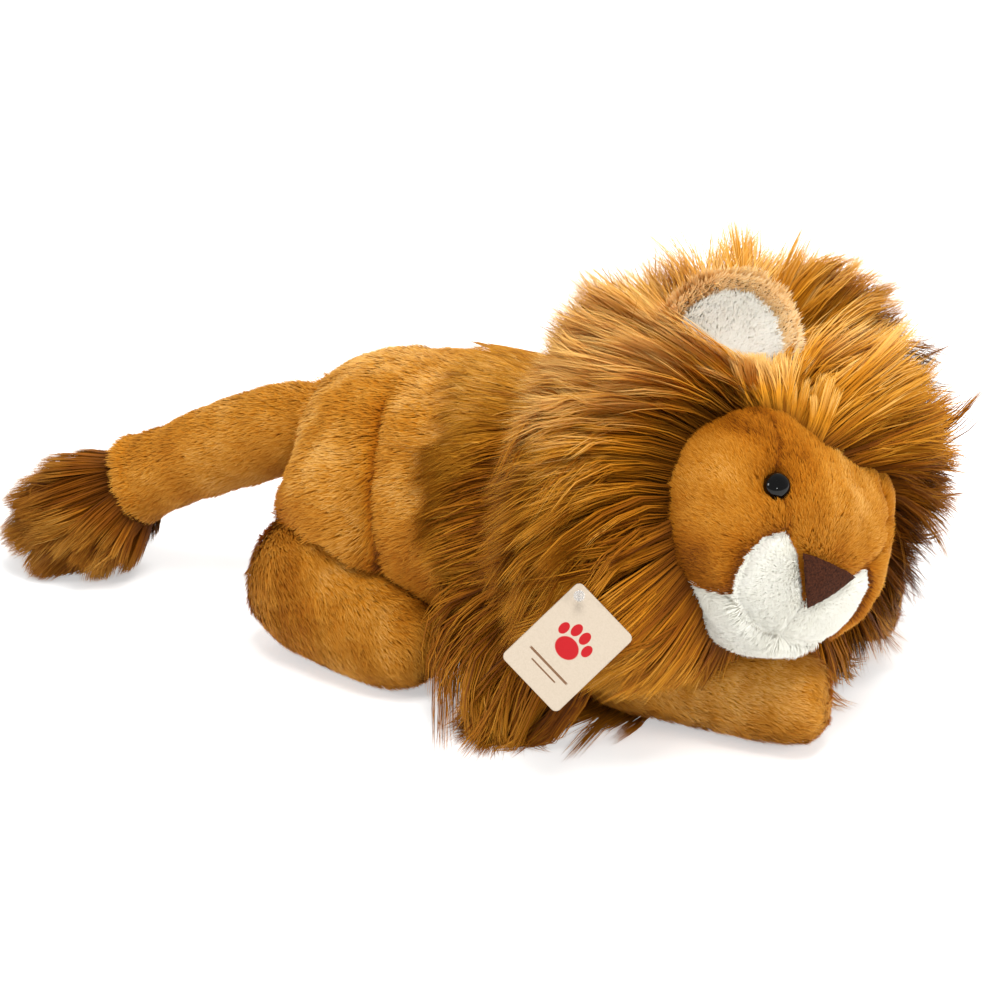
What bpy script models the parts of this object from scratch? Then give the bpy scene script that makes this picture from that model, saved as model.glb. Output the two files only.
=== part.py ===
"""A plush lion that lies on its belly, with its head turned and resting over its right forepaw.

Metres, +Z up. +X is the way the torso faces, +Y is the lion's left, and the origin is the middle of the
flat patch that the belly rests on. Each stuffed part is a sewn cover, as thick as its pile, round a fibre
filling. The head has its own frame, with +X towards the nose, +Y to its left and +Z to its crown.
"""

import math

import bmesh
import bpy
from mathutils import Matrix, Vector
from mathutils.bvhtree import BVHTree

# Fabric and fits
PILE = 0.008  # short plush, from the back of the fabric to the tips of the pile
FELT = 0.0016
CLEARANCE = 0.0003  # between pieces that touch
MOVING_GAP = 0.0009  # round pieces that move against each other
PRESSED_DEPTH = 0.0005  # how much of a soft form is pressed flat by the floor
OVERRUN = 0.02  # how far a cutter runs past what it cuts
LARGE = 1.0  # the side of a cutting block
FINE_MERGE = 0.00001
FLAT_ENOUGH = math.radians(2.4)

# Torso
BODY_LENGTH = 0.244  # chest to rump
TORSO_FRONT = Vector((0.068, 0.0, 0.084))
RUMP_HEIGHT = 0.078
RUMP = Vector((TORSO_FRONT.x - BODY_LENGTH, 0.0, 0.0))
TORSO_REAR = RUMP + Vector((0.0, 0.0, RUMP_HEIGHT))
TORSO_WIDTH = 0.146
TORSO_HEIGHT = 0.150
TORSO_SQUARENESS = 2.3
NECK_CENTRE = Vector((0.022, 0.0, 0.095))
# Of each section: place along, shift across, shift up, half width, half height
TORSO_SHARES = (
    (0.055, 0.0, -0.005, 0.60, 0.63),
    (0.176, 0.0, -0.050, 0.90, 0.91),
    (0.345, 0.0, -0.082, 1.00, 1.007),
    (0.534, 0.0, -0.087, 0.95, 1.007),
    (0.690, 0.0, -0.124, 0.86, 0.950),
    (0.810, 0.0, -0.204, 0.72, 0.800),
    (0.920, 0.0, -0.080, 0.50, 0.540),
)

# Haunches, the thigh panels beside the rump
HAUNCH_REAR_FROM_RUMP = Vector((0.004, -0.040, 0.080))
HAUNCH_REAR = RUMP + HAUNCH_REAR_FROM_RUMP
HAUNCH_FRONT_FROM_RUMP = Vector((0.104, -0.050, 0.072))
HAUNCH_FRONT = RUMP + HAUNCH_FRONT_FROM_RUMP
HAUNCH_WIDTH = 0.064
HAUNCH_HEIGHT = 0.100
HAUNCH_SHARES = (
    (0.12, 0.0, 0.0, 0.62, 0.62),
    (0.36, 0.0, 0.0, 0.96, 0.97),
    (0.62, 0.0, 0.0, 0.97, 1.00),
    (0.87, 0.0, 0.0, 0.62, 0.66),
)

# Hind legs
HINDLEG_HEEL_FROM_RUMP = Vector((-0.005, -0.043, 0.042))
HINDLEG_HEEL = RUMP + HINDLEG_HEEL_FROM_RUMP
HINDLEG_TOE_FROM_RUMP = Vector((0.110, -0.073, 0.025))
HINDLEG_TOE = RUMP + HINDLEG_TOE_FROM_RUMP
HINDLEG_WIDTH = 0.055
HINDLEG_HEIGHT = 0.084
HINDLEG_SHARES = (
    (0.08, 0.0, 0.04, 0.72, 0.70),
    (0.27, 0.0, 0.07, 1.00, 0.97),
    (0.50, 0.0, 0.00, 0.98, 0.78),
    (0.72, 0.0, -0.035, 0.96, 0.66),
    (0.91, 0.0, -0.015, 0.76, 0.54),
)
HINDLEG_PIVOT_FROM_RUMP = Vector((0.032, -0.050, 0.040))
HINDLEG_PIVOT = RUMP + HINDLEG_PIVOT_FROM_RUMP
HINDLEG_SPLAY = math.radians(15)

# Forelegs
FORELEG_REAR = Vector((-0.018, -0.050, 0.030))
FORELEG_TOE = Vector((0.133, -0.057, 0.0255))
FORELEG_WIDTH = 0.052
FORELEG_HEIGHT = 0.053
FORELEG_SHARES = (
    (0.08, 0.0, 0.02, 0.76, 0.82),
    (0.28, 0.0, 0.0, 0.98, 1.03),
    (0.54, 0.0, -0.02, 0.92, 0.96),
    (0.78, 0.0, 0.0, 1.00, 1.00),
    (0.94, 0.0, 0.0, 0.74, 0.76),
)
FORELEG_PIVOT = Vector((0.006, -0.050, 0.030))
FORELEG_SPLAY = math.radians(15)

# Tail
TAIL_ROOT_FROM_RUMP = Vector((0.038, 0.000, 0.113))
TAIL_ROOT = RUMP + TAIL_ROOT_FROM_RUMP
TAIL_END_FROM_RUMP = Vector((-0.088, -0.004, 0.049))
TAIL_END = RUMP + TAIL_END_FROM_RUMP
TAIL_THICKNESS = 0.045
TAIL_SHARES = (
    (0.10, 0.0, 0.02, 0.96, 0.96),
    (0.34, 0.0, 0.09, 1.02, 1.02),
    (0.64, 0.0, 0.10, 0.97, 0.97),
    (0.90, 0.0, 0.02, 0.88, 0.88),
)
TAIL_PIVOT_FROM_RUMP = Vector((0.026, 0.000, 0.106))
TAIL_PIVOT = RUMP + TAIL_PIVOT_FROM_RUMP
TAIL_SWING = math.radians(20)

# Tail tuft
TUFT_ROOT_FROM_RUMP = Vector((-0.067, -0.004, 0.060))
TUFT_ROOT = RUMP + TUFT_ROOT_FROM_RUMP
TUFT_TIP_FROM_RUMP = Vector((-0.142, -0.012, 0.014))
TUFT_TIP = RUMP + TUFT_TIP_FROM_RUMP
TUFT_WIDTH = 0.058
TUFT_HEIGHT = 0.060
TUFT_LOCKS = 7
TUFT_LOCK_SHARE = 0.10
TUFT_SHARES = (
    (0.06, 0.0, 0.0, 0.66, 0.66),
    (0.30, 0.0, 0.0, 1.00, 0.98),
    (0.62, 0.0, 0.02, 0.92, 0.90),
    (0.88, 0.0, 0.0, 0.60, 0.58),
)

# Head, in its own frame
HEAD_CENTRE = Vector((0.0785, -0.0364, 0.111))
HEAD_TURN = math.radians(-29)
HEAD_NOD = math.radians(-9)
HEAD_TILT = math.radians(-36)
HEAD_BACK = Vector((-0.058, 0.0, 0.002))
HEAD_SNOUT = Vector((0.067, 0.0, -0.018))
HEAD_WIDTH = 0.130
HEAD_HEIGHT = 0.125
HEAD_SQUARENESS = 2.5
HEAD_SHARES = (
    (0.08, 0.0, 0.01, 0.50, 0.53),
    (0.25, 0.0, 0.03, 0.85, 0.86),
    (0.47, 0.0, 0.05, 1.00, 1.00),
    (0.68, 0.0, 0.03, 0.94, 0.95),
    (0.85, 0.0, -0.01, 0.78, 0.80),
    (0.955, 0.0, -0.01, 0.56, 0.60),
)
HEAD_LOOK_BACK = math.radians(-7)
HEAD_LOOK_AHEAD = math.radians(10)

# White panels of the muzzle and chin: outlines seen from the front, as shares of the head's width and height.
# The muzzle's is the right half, from the mouth up along the middle and round.
PANEL_BACK = 0.018  # how far forward of the head's middle the white starts
MUZZLE_OUTLINE_SHARES = (
    (0.0, -0.385),
    (0.0, -0.240),
    (-0.062, -0.172),
    (-0.137, -0.085),
    (-0.215, -0.030),
    (-0.272, -0.080),
    (-0.294, -0.165),
    (-0.288, -0.250),
    (-0.255, -0.330),
    (-0.165, -0.380),
    (-0.062, -0.397),
)
CHIN_LINE_SHARES = (
    (-0.62, -0.20),
    (-0.475, -0.262),
    (-0.365, -0.325),
    (-0.255, -0.338),
    (-0.165, -0.384),
    (-0.062, -0.400),
    (0.0, -0.388),
)

# Nose, a felt patch: outline seen from the front
NOSE_WIDTH = 0.037
NOSE_HEIGHT = 0.022
NOSE_TOP = -0.010
NOSE_OUTLINE_SHARES = ((-0.5, 0.0), (-0.26, 0.04), (0.26, 0.04), (0.5, 0.0), (0.27, -0.52), (0.0, -1.0), (-0.27, -0.52))

# Safety eyes
EYE_RADIUS = 0.007
EYE_RISE = 0.0048
EYE_AIM = Vector((0.776, -0.586, 0.234))  # from the middle of the head towards the right eye
SHANK_RADIUS = 0.0018
SHANK_LENGTH = 0.016
WASHER_RADIUS = 0.007
WASHER_THICKNESS = 0.0014
WASHER_DROP = 0.0016  # behind the fabric, which curves

# Ears
EAR_SEAT = Vector((-0.024, -0.036, 0.045))
EAR_WIDTH = 0.078
EAR_HEIGHT = 0.074
EAR_THICKNESS = 0.013
EAR_CUP = 0.016
EAR_LEAN = math.radians(16)
EAR_FACING = math.radians(-20)
EAR_LINING_SHARE = 0.74
EAR_LINING_THICKNESS = 0.007
EAR_RISE_SHARE = 0.40
EAR_FOLD = math.radians(15)

# Mane round the face
RUFF_REAR = Vector((-0.074, 0.0, 0.004))
RUFF_FRONT = Vector((0.018, 0.0, 0.0))
RUFF_WIDTH = 0.250
RUFF_HEIGHT = 0.262
RUFF_LOCKS = 12
RUFF_LOCK_SHARE = 0.045
RUFF_SHARES = (
    (0.10, 0.0, 0.0, 0.66, 0.66),
    (0.34, 0.0, 0.0, 0.90, 0.90),
    (0.62, 0.0, 0.0, 1.00, 1.00),
    (0.86, 0.0, 0.0, 0.86, 0.86),
)
# How far the locks reach, counted from the lion's left over the crown and round, every 30 degrees
RUFF_REACH_SHARES = (1.18, 1.30, 1.06, 1.02, 0.94, 1.02, 1.02, 0.98, 0.86, 0.60, 0.60, 0.96)

# Mane over the shoulders
CAPE_REAR = Vector((-0.082, 0.0, 0.080))
CAPE_FRONT = Vector((0.062, 0.0, 0.080))
CAPE_WIDTH = 0.214
CAPE_HEIGHT = 0.176
CAPE_SHARES = (
    (0.05, 0.0, -0.03, 0.78, 0.86),
    (0.26, 0.0, -0.05, 0.94, 0.96),
    (0.56, 0.0, -0.05, 1.00, 1.02),
    (0.84, 0.0, -0.06, 0.84, 0.86),
)
CAPE_LOCKS = 10
CAPE_LOCK_SHARE = 0.035
FLOOR_GAP = 0.002  # the mane's locks end just above the floor

# Swing tag, a small folded card
TAG_WIDTH = 0.038
TAG_LENGTH = 0.052
TAG_CORNER = 0.003
TAG_LEAF = 0.0006
TAG_LEAF_GAP = 0.0005
TAG_CENTRE = Vector((0.0214, -0.1326, 0.0775))
TAG_FACING = Vector((0.317, -0.827, 0.463))
TAG_UP = Vector((0.558, 0.556, 0.611))
TAG_HOLE_RADIUS = 0.0022
TAG_HOLE_INSET = 0.005
TAG_PIN_RADIUS = 0.0006
TAG_PIN_HEAD_RADIUS = 0.0028
TAG_PIN_HEAD = 0.0008
TAG_PIN_SLACK = 0.0046
TAG_PIN_DEPTH = 0.010
TAG_SWING = math.radians(12)
TAG_OPEN = math.radians(25)

UP = Vector((0.0, 0.0, 1.0))
HEAD_FRAME = Matrix.Translation(HEAD_CENTRE) @ (
    Matrix.Rotation(HEAD_TURN, 4, "Z") @ Matrix.Rotation(HEAD_NOD, 4, "Y") @ Matrix.Rotation(HEAD_TILT, 4, "X")
)
HEAD_PIVOT = NECK_CENTRE

COLOURS = {
    "golden_plush": ((0.60, 0.33, 0.09), 0.95, 0.0),
    "long_mane_plush": ((0.40, 0.18, 0.04), 0.90, 0.0),
    "white_plush": ((0.86, 0.85, 0.80), 0.95, 0.0),
    "polyester_fibre": ((0.90, 0.90, 0.88), 1.0, 0.0),
    "brown_felt": ((0.085, 0.035, 0.022), 0.95, 0.0),
    "black_resin": ((0.006, 0.006, 0.007), 0.08, 0.0),
    "washer_plastic": ((0.80, 0.80, 0.78), 0.5, 0.0),
    "tag_card": ((0.84, 0.78, 0.68), 0.6, 0.0),
    "clear_nylon": ((0.80, 0.80, 0.78), 0.4, 0.0),
}


def clear_scene():
    """Empties the scene, and makes one collection for the lion and one for its cutters."""
    for old in list(bpy.data.objects):
        bpy.data.objects.remove(old)
    made = []
    for title in ("plush_lion", "cutters"):
        collection = bpy.data.collections.new(title)
        bpy.context.scene.collection.children.link(collection)
        made.append(collection)
    return made


LION, CUTTERS = clear_scene()


def material(name):
    """The finish of that name, made once."""
    found = bpy.data.materials.get(name)
    if found:
        return found
    colour, roughness, metallic = COLOURS[name]
    made = bpy.data.materials.new(name)
    made.use_nodes = True
    shader = made.node_tree.nodes["Principled BSDF"]
    shader.inputs["Base Color"].default_value = (*colour, 1.0)
    shader.inputs["Roughness"].default_value = roughness
    shader.inputs["Metallic"].default_value = metallic
    return made


def link(name, mesh, finish=None):
    """Puts a mesh in the scene: a piece of the lion if it has a finish, a cutter if not."""
    thing = bpy.data.objects.new(name, mesh)
    if finish:
        LION.objects.link(thing)
        mesh.materials.clear()
        mesh.materials.append(material(finish))
    else:
        CUTTERS.objects.link(thing)
        thing.hide_render = True
        thing.display_type = "WIRE"
    return thing


def mesh_from(bm, name):
    """Turns a bmesh into a mesh whose faces point out, and frees it."""
    bm.normal_update()
    if not any(edge.is_boundary for edge in bm.edges):
        bmesh.ops.recalc_face_normals(bm, faces=bm.faces)
    mesh = bpy.data.meshes.new(name)
    bm.to_mesh(mesh)
    bm.free()
    return mesh


def settle(thing):
    """Applies an object's modifiers and place to its mesh."""
    bpy.context.view_layer.update()
    graph = bpy.context.evaluated_depsgraph_get()
    mesh = bpy.data.meshes.new_from_object(thing.evaluated_get(graph))
    mesh.transform(thing.matrix_world)
    thing.modifiers.clear()
    thing.data = mesh
    thing.matrix_world = Matrix.Identity(4)
    return thing


def round_power(value, squareness):
    """A cosine or sine bent towards a rounded square; a squareness of 2 is an ellipse."""
    return math.copysign(abs(value) ** (2 / squareness), value)


def reach_at(angle, shares):
    """A smooth reading of shares spread evenly round a circle."""
    place = angle / math.tau % 1 * len(shares)
    low = int(place) % len(shares)
    part = place - int(place)
    ease = part * part * (3 - 2 * part)
    return shares[low] * (1 - ease) + shares[(low + 1) % len(shares)] * ease


def cage(rear, front, width, height, shares, points, squareness=2.0, reach=None, locks=0, lock_share=0.0):
    """A sphere whose rings are moved to a soft form's sections, as a bmesh."""
    bm = bmesh.new()
    bmesh.ops.create_uvsphere(bm, u_segments=points, v_segments=len(shares) + 1, radius=1)
    along = front - rear
    side = UP.cross(along).normalized()
    rise = along.normalized().cross(side)
    swell = 1 / (0.75 + 0.25 * math.cos(math.tau / points))  # what the subdivision takes back
    for vertex in bm.verts:
        ring = round(math.acos(max(-1.0, min(1.0, -vertex.co.z))) / math.pi * (len(shares) + 1))
        angle = math.atan2(vertex.co.y, vertex.co.x)
        if ring == 0:
            vertex.co = rear
            continue
        if ring > len(shares):
            vertex.co = front
            continue
        place, across, up, wide, high = shares[ring - 1]
        grow = swell * (reach_at(angle, reach) if reach else 1)
        grow *= 1 + lock_share * math.cos(locks * angle + math.pi * ring)
        vertex.co = (
            rear
            + along * place
            + side * (across * width + wide * width / 2 * grow * round_power(math.cos(angle), squareness))
            + rise * (up * height + high * height / 2 * grow * round_power(math.sin(angle), squareness))
        )
    bm.normal_update()
    bmesh.ops.recalc_face_normals(bm, faces=bm.faces)
    return bm


def soft_solid(name, finish, form, levels=1, inset=0.0, frame=None):
    """A closed soft form, drawn in by inset all over."""
    bm = cage(**form)
    thing = link(name, mesh_from(bm, name), finish)
    if frame:
        thing.matrix_world = frame
    rounding = thing.modifiers.new("rounding", "SUBSURF")
    rounding.levels = rounding.render_levels = levels
    if inset:
        drawn_in = thing.modifiers.new("drawn_in", "DISPLACE")
        drawn_in.strength = -inset
        drawn_in.mid_level = 0.0
    return settle(thing)


def soft_cover(name, finish, outer, rear, wall):
    """The sewn cover of a soft form, open at its rear, where it is sewn on and filled."""
    bm = bmesh.new()
    bm.from_mesh(outer.data)
    pole = min(bm.verts, key=lambda vertex: (vertex.co - rear).length)
    bmesh.ops.delete(bm, geom=[pole], context="VERTS")
    thing = link(name, mesh_from(bm, name), finish)
    cloth = thing.modifiers.new("cloth", "SOLIDIFY")
    cloth.thickness = wall
    cloth.offset = -1.0
    return settle(thing)


def combine(thing, other, operation):
    """Cuts, joins or trims thing with other at once."""
    change = thing.modifiers.new("shape", "BOOLEAN")
    change.operation = operation
    change.solver = "EXACT"
    change.object = other
    settle(thing)
    bm = bmesh.new()
    bm.from_mesh(thing.data)
    bmesh.ops.remove_doubles(bm, verts=bm.verts, dist=FINE_MERGE)
    bmesh.ops.dissolve_degenerate(bm, edges=bm.edges, dist=FINE_MERGE)
    bmesh.ops.triangulate(bm, faces=bm.faces)
    bm.to_mesh(thing.data)
    bm.free()
    return thing


def cut(thing, *cutters):
    """Takes the cutters out of thing."""
    for cutter in cutters:
        combine(thing, cutter, "DIFFERENCE")
    return thing


def grown(thing, by, name):
    """A cutter with the shape of thing, larger all round."""
    mesh = thing.data.copy()
    places = [vertex.co + vertex.normal * by for vertex in mesh.vertices]
    for vertex, place in zip(mesh.vertices, places):
        vertex.co = place
    return link(name, mesh)


def swept(things, pivot, axis, angles, by, name):
    """A cutter that holds all that the things pass through as they turn, with room all round."""
    bm = bmesh.new()
    for angle in angles:
        turn = Matrix.Translation(pivot) @ Matrix.Rotation(angle, 4, axis) @ Matrix.Translation(-pivot)
        for thing in things:
            for vertex in thing.data.vertices:
                bm.verts.new(turn @ (vertex.co + vertex.normal * by))
    hull = bmesh.ops.convex_hull(bm, input=bm.verts)
    loose = [v for v in hull["geom_interior"] + hull["geom_unused"] if isinstance(v, bmesh.types.BMVert)]
    bmesh.ops.delete(bm, geom=list(set(loose)), context="VERTS")
    return link(name, mesh_from(bm, name))


def block(name, low, high, frame=None):
    """A box-shaped cutter between two corners."""
    bm = bmesh.new()
    size = high - low
    bmesh.ops.create_cube(bm, size=1)
    bmesh.ops.transform(bm, matrix=Matrix.Translation((low + high) / 2) @ Matrix.Diagonal((*size, 1)), verts=bm.verts)
    if frame:
        bmesh.ops.transform(bm, matrix=frame, verts=bm.verts)
    return link(name, mesh_from(bm, name))


def prism(name, outline, thickness, frame, finish=None):
    """A flat outline in XY, extruded evenly either side of its plane."""
    curve = bpy.data.curves.new(name, "CURVE")
    curve.dimensions = "2D"
    curve.fill_mode = "BOTH"
    curve.extrude = thickness / 2
    spline = curve.splines.new("POLY")
    spline.points.add(len(outline) - 1)
    for point, place in zip(spline.points, outline):
        point.co = (*place, 0.0, 1.0)
    spline.use_cyclic_u = True
    drawn = bpy.data.objects.new(name + "_outline", curve)
    CUTTERS.objects.link(drawn)
    bpy.context.view_layer.update()
    graph = bpy.context.evaluated_depsgraph_get()
    mesh = bpy.data.meshes.new_from_object(drawn.evaluated_get(graph))
    bpy.data.objects.remove(drawn)
    bm = bmesh.new()
    bm.from_mesh(mesh)
    bmesh.ops.remove_doubles(bm, verts=bm.verts, dist=FINE_MERGE)
    bmesh.ops.transform(bm, matrix=frame, verts=bm.verts)
    return link(name, mesh_from(bm, name), finish)


def rod(name, radius, low, high, frame, finish=None, sides=16):
    """A round bar along Z of a frame, from one height to another."""
    bm = bmesh.new()
    bmesh.ops.create_cone(bm, cap_ends=True, segments=sides, radius1=radius, radius2=radius, depth=high - low)
    bmesh.ops.transform(bm, matrix=frame @ Matrix.Translation(UP * ((low + high) / 2)), verts=bm.verts)
    return link(name, mesh_from(bm, name), finish)


def spread(body):
    """How large the box round some vertices is, as the product of its sides."""
    sides = [max(v.co[i] for v in body) - min(v.co[i] for v in body) for i in range(3)]
    return math.prod(sides)


def keep_largest(thing):
    """Leaves the largest of the bodies that a cut has left."""
    bm = bmesh.new()
    bm.from_mesh(thing.data)
    unseen = set(bm.verts)
    bodies = []
    while unseen:
        body, edge = set(), [unseen.pop()]
        while edge:
            vertex = edge.pop()
            body.add(vertex)
            near = [e.other_vert(vertex) for e in vertex.link_edges]
            edge.extend(v for v in near if v in unseen)
            unseen.difference_update(near)
        bodies.append(body)
    bodies.sort(key=spread)
    spare = [vertex for body in bodies[:-1] for vertex in body]
    bmesh.ops.delete(bm, geom=spare, context="VERTS")
    bm.to_mesh(thing.data)
    bm.free()
    return thing


def merge_flat(thing):
    """Makes one face of neighbours that lie almost in a plane, and splits the result into triangles."""
    bm = bmesh.new()
    bm.from_mesh(thing.data)
    bmesh.ops.dissolve_limit(bm, angle_limit=FLAT_ENOUGH, verts=bm.verts, edges=bm.edges)
    bmesh.ops.triangulate(bm, faces=bm.faces)
    bm.to_mesh(thing.data)
    bm.free()


def put_origin(piece, place):
    """Moves a piece's origin, and leaves the piece where it is."""
    piece.data.transform(Matrix.Translation(-place))
    piece.location = place


def frame_at(origin, facing, up):
    """A frame with Z along facing and Y near up."""
    z = facing.normalized()
    x = up.cross(z).normalized()
    y = z.cross(x)
    return Matrix.Translation(origin) @ Matrix((x, y, z)).transposed().to_4x4()


def mirrored(point):
    """The same place on the other side of the lion, or of its head."""
    return Vector((point.x, -point.y, point.z))


def form(rear, front, width, height, shares, points, **more):
    """A soft form's measures, for cage()."""
    return dict(rear=rear, front=front, width=width, height=height, shares=shares, points=points, **more)


def sided(side, point):
    """A point given for the right side, on the side asked for."""
    return point if side == "right" else mirrored(point)


def press_flat(thing):
    """Cuts off what the floor presses flat."""
    return cut(thing, FLOOR)


def on_floor(measures):
    """The measures of a soft form, moved down until the floor presses it by the right depth."""
    trial = soft_solid("trial", None, measures)
    low = min(vertex.co.z for vertex in trial.data.vertices)
    bpy.data.objects.remove(trial)
    drop = UP * (-PRESSED_DEPTH - low)
    return {**measures, "rear": measures["rear"] + drop, "front": measures["front"] + drop}


def stuffed(name, measures, finish="golden_plush", frame=None):
    """A stuffed part: its cover, its filling and, for the cutters, its outer form."""
    outer = soft_solid(name + "_form", None, measures, frame=frame)
    rear = frame @ measures["rear"] if frame else measures["rear"]
    cover = soft_cover(name + "_cover", finish, outer, rear, PILE)
    filling = soft_solid(name + "_filling", "polyester_fibre", measures, inset=PILE + 2 * CLEARANCE, frame=frame)
    return cover, filling, outer


def make_torso():
    """The torso's cover, filling and outer form."""
    measures = form(TORSO_REAR, TORSO_FRONT, TORSO_WIDTH, TORSO_HEIGHT, TORSO_SHARES, 10, squareness=TORSO_SQUARENESS)
    return stuffed("torso", on_floor(measures))


def make_haunch(side):
    """The thigh panel's whole form, stuffed as one with its filling."""
    rear, front = sided(side, HAUNCH_REAR), sided(side, HAUNCH_FRONT)
    measures = form(rear, front, HAUNCH_WIDTH, HAUNCH_HEIGHT, HAUNCH_SHARES, 8)
    return soft_solid("haunch_" + side, "golden_plush", measures)


def make_leg(kind, side, rear, toe, width, height, shares):
    """A stuffed leg: its cover, filling and outer form, pressed flat by the floor."""
    measures = form(sided(side, rear), sided(side, toe), width, height, shares, 8)
    return stuffed(f"{kind}_{side}", on_floor(measures))


def make_tail():
    """The tail's cover, filling and outer form, and its tuft."""
    measures = form(TAIL_ROOT, TAIL_END, TAIL_THICKNESS, TAIL_THICKNESS, TAIL_SHARES, 8)
    cover, filling, outer = stuffed("tail", measures)
    tuft_form = form(
        TUFT_ROOT, TUFT_TIP, TUFT_WIDTH, TUFT_HEIGHT, TUFT_SHARES, 14, locks=TUFT_LOCKS, lock_share=TUFT_LOCK_SHARE
    )
    tuft = soft_solid("tail_tuft", "long_mane_plush", tuft_form)
    cut(tuft, grown(outer, CLEARANCE, "tail_seat"))
    return cover, filling, outer, keep_largest(tuft)


def front_prism(name, outline):
    """An outline of the head seen from the front, in metres, run forward from where the white starts."""
    seen_from_front = Matrix(((0, 0, 1, 0), (1, 0, 0, 0), (0, 1, 0, 0), (0, 0, 0, 1)))
    middle = Vector((PANEL_BACK + HEAD_WIDTH / 2, 0.0, 0.0))
    return prism(name, outline, HEAD_WIDTH, HEAD_FRAME @ Matrix.Translation(middle) @ seen_from_front)


def head_outline(shares, sign=1):
    """Shares of the head's width and height in metres, for the right side or, with a sign of -1, the left."""
    return [(y * HEAD_WIDTH * sign, z * HEAD_HEIGHT) for y, z in shares]


def make_head():
    """The head's golden cover, filling and outer form, with the white panels of the muzzle and chin."""
    measures = form(
        HEAD_BACK, HEAD_SNOUT, HEAD_WIDTH, HEAD_HEIGHT, HEAD_SHARES, 12, squareness=HEAD_SQUARENESS
    )
    cover, filling, outer = stuffed("head", measures, frame=HEAD_FRAME)
    whole = cover.data.copy()
    chin_line = head_outline(CHIN_LINE_SHARES)
    chin_line += [(-y, z) for y, z in reversed(chin_line[:-1])]
    chin_area = front_prism("chin_area", [(-HEAD_WIDTH, -HEAD_WIDTH), *chin_line, (HEAD_WIDTH, -HEAD_WIDTH)])
    areas = {"chin": chin_area}
    for side, sign in (("right", 1), ("left", -1)):
        areas["muzzle_" + side] = front_prism("muzzle_area_" + side, head_outline(MUZZLE_OUTLINE_SHARES, sign))
    panels = {}
    rooms = {name: grown(area, CLEARANCE, name + "_room") for name, area in areas.items()}
    for name, area in areas.items():
        cut(cover, rooms[name])
        panels[name] = combine(link(name, whole.copy(), "white_plush"), area, "INTERSECT")
    cut(panels["muzzle_left"], rooms["muzzle_right"], rooms["chin"])
    cut(panels["muzzle_right"], rooms["chin"])
    for panel in panels.values():
        keep_largest(panel)
    keep_largest(cover)
    return cover, filling, outer, panels


def make_nose(head_form, panels, cover):
    """The felt nose patch, laid over the front of the muzzle, which is cut away under it."""
    outline = [(y * NOSE_WIDTH, NOSE_TOP + z * NOSE_HEIGHT) for y, z in NOSE_OUTLINE_SHARES]
    area = front_prism("nose_area", outline)
    nose = grown(head_form, CLEARANCE, "nose_blank")
    nose.name = "nose"
    CUTTERS.objects.unlink(nose)
    nose = link("nose_patch", nose.data, "brown_felt")
    combine(nose, area, "INTERSECT")
    cut(nose, grown(head_form, CLEARANCE - FELT, "nose_back"))
    room = grown(nose, CLEARANCE, "nose_room")
    for piece in (*panels.values(), cover):
        cut(piece, room)
        keep_largest(piece)
    return nose


def make_eye(side, head_form, cover, filling):
    """A safety eye with its shank, and the washer that locks it behind the fabric."""
    aim = sided(side, EYE_AIM).normalized()
    tree = BVHTree.FromPolygons(
        [v.co.copy() for v in head_form.data.vertices], [tuple(p.vertices) for p in head_form.data.polygons]
    )
    start = HEAD_FRAME @ Vector()
    place, normal, _, _ = tree.ray_cast(start, HEAD_FRAME.to_3x3() @ aim)
    frame = frame_at(place, normal, HEAD_FRAME.to_3x3() @ UP)
    bm = bmesh.new()
    bmesh.ops.create_uvsphere(bm, u_segments=16, v_segments=8, radius=1)
    bmesh.ops.transform(bm, matrix=frame @ Matrix.Diagonal((EYE_RADIUS, EYE_RADIUS, EYE_RISE, 1)), verts=bm.verts)
    eye = link("eye_" + side, mesh_from(bm, "eye_" + side), "black_resin")
    combine(eye, rod("shank_" + side, SHANK_RADIUS, -SHANK_LENGTH, 0.0, frame, sides=12), "UNION")
    seat = grown(eye, CLEARANCE, "eye_room_" + side)
    washer_high = -PILE - WASHER_DROP
    washer_low = washer_high - WASHER_THICKNESS
    washer = rod("eye_washer_" + side, WASHER_RADIUS, washer_low, washer_high, frame, "washer_plastic", 12)
    cut(washer, rod("washer_bore_" + side, SHANK_RADIUS + CLEARANCE, -LARGE / 2, LARGE / 2, frame, sides=12))
    washer_room = rod(
        "washer_room_" + side, WASHER_RADIUS + CLEARANCE, washer_low - CLEARANCE, 0.0, frame, sides=12
    )
    cut(cover, seat)
    cut(filling, seat, washer_room)
    return eye, washer


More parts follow.
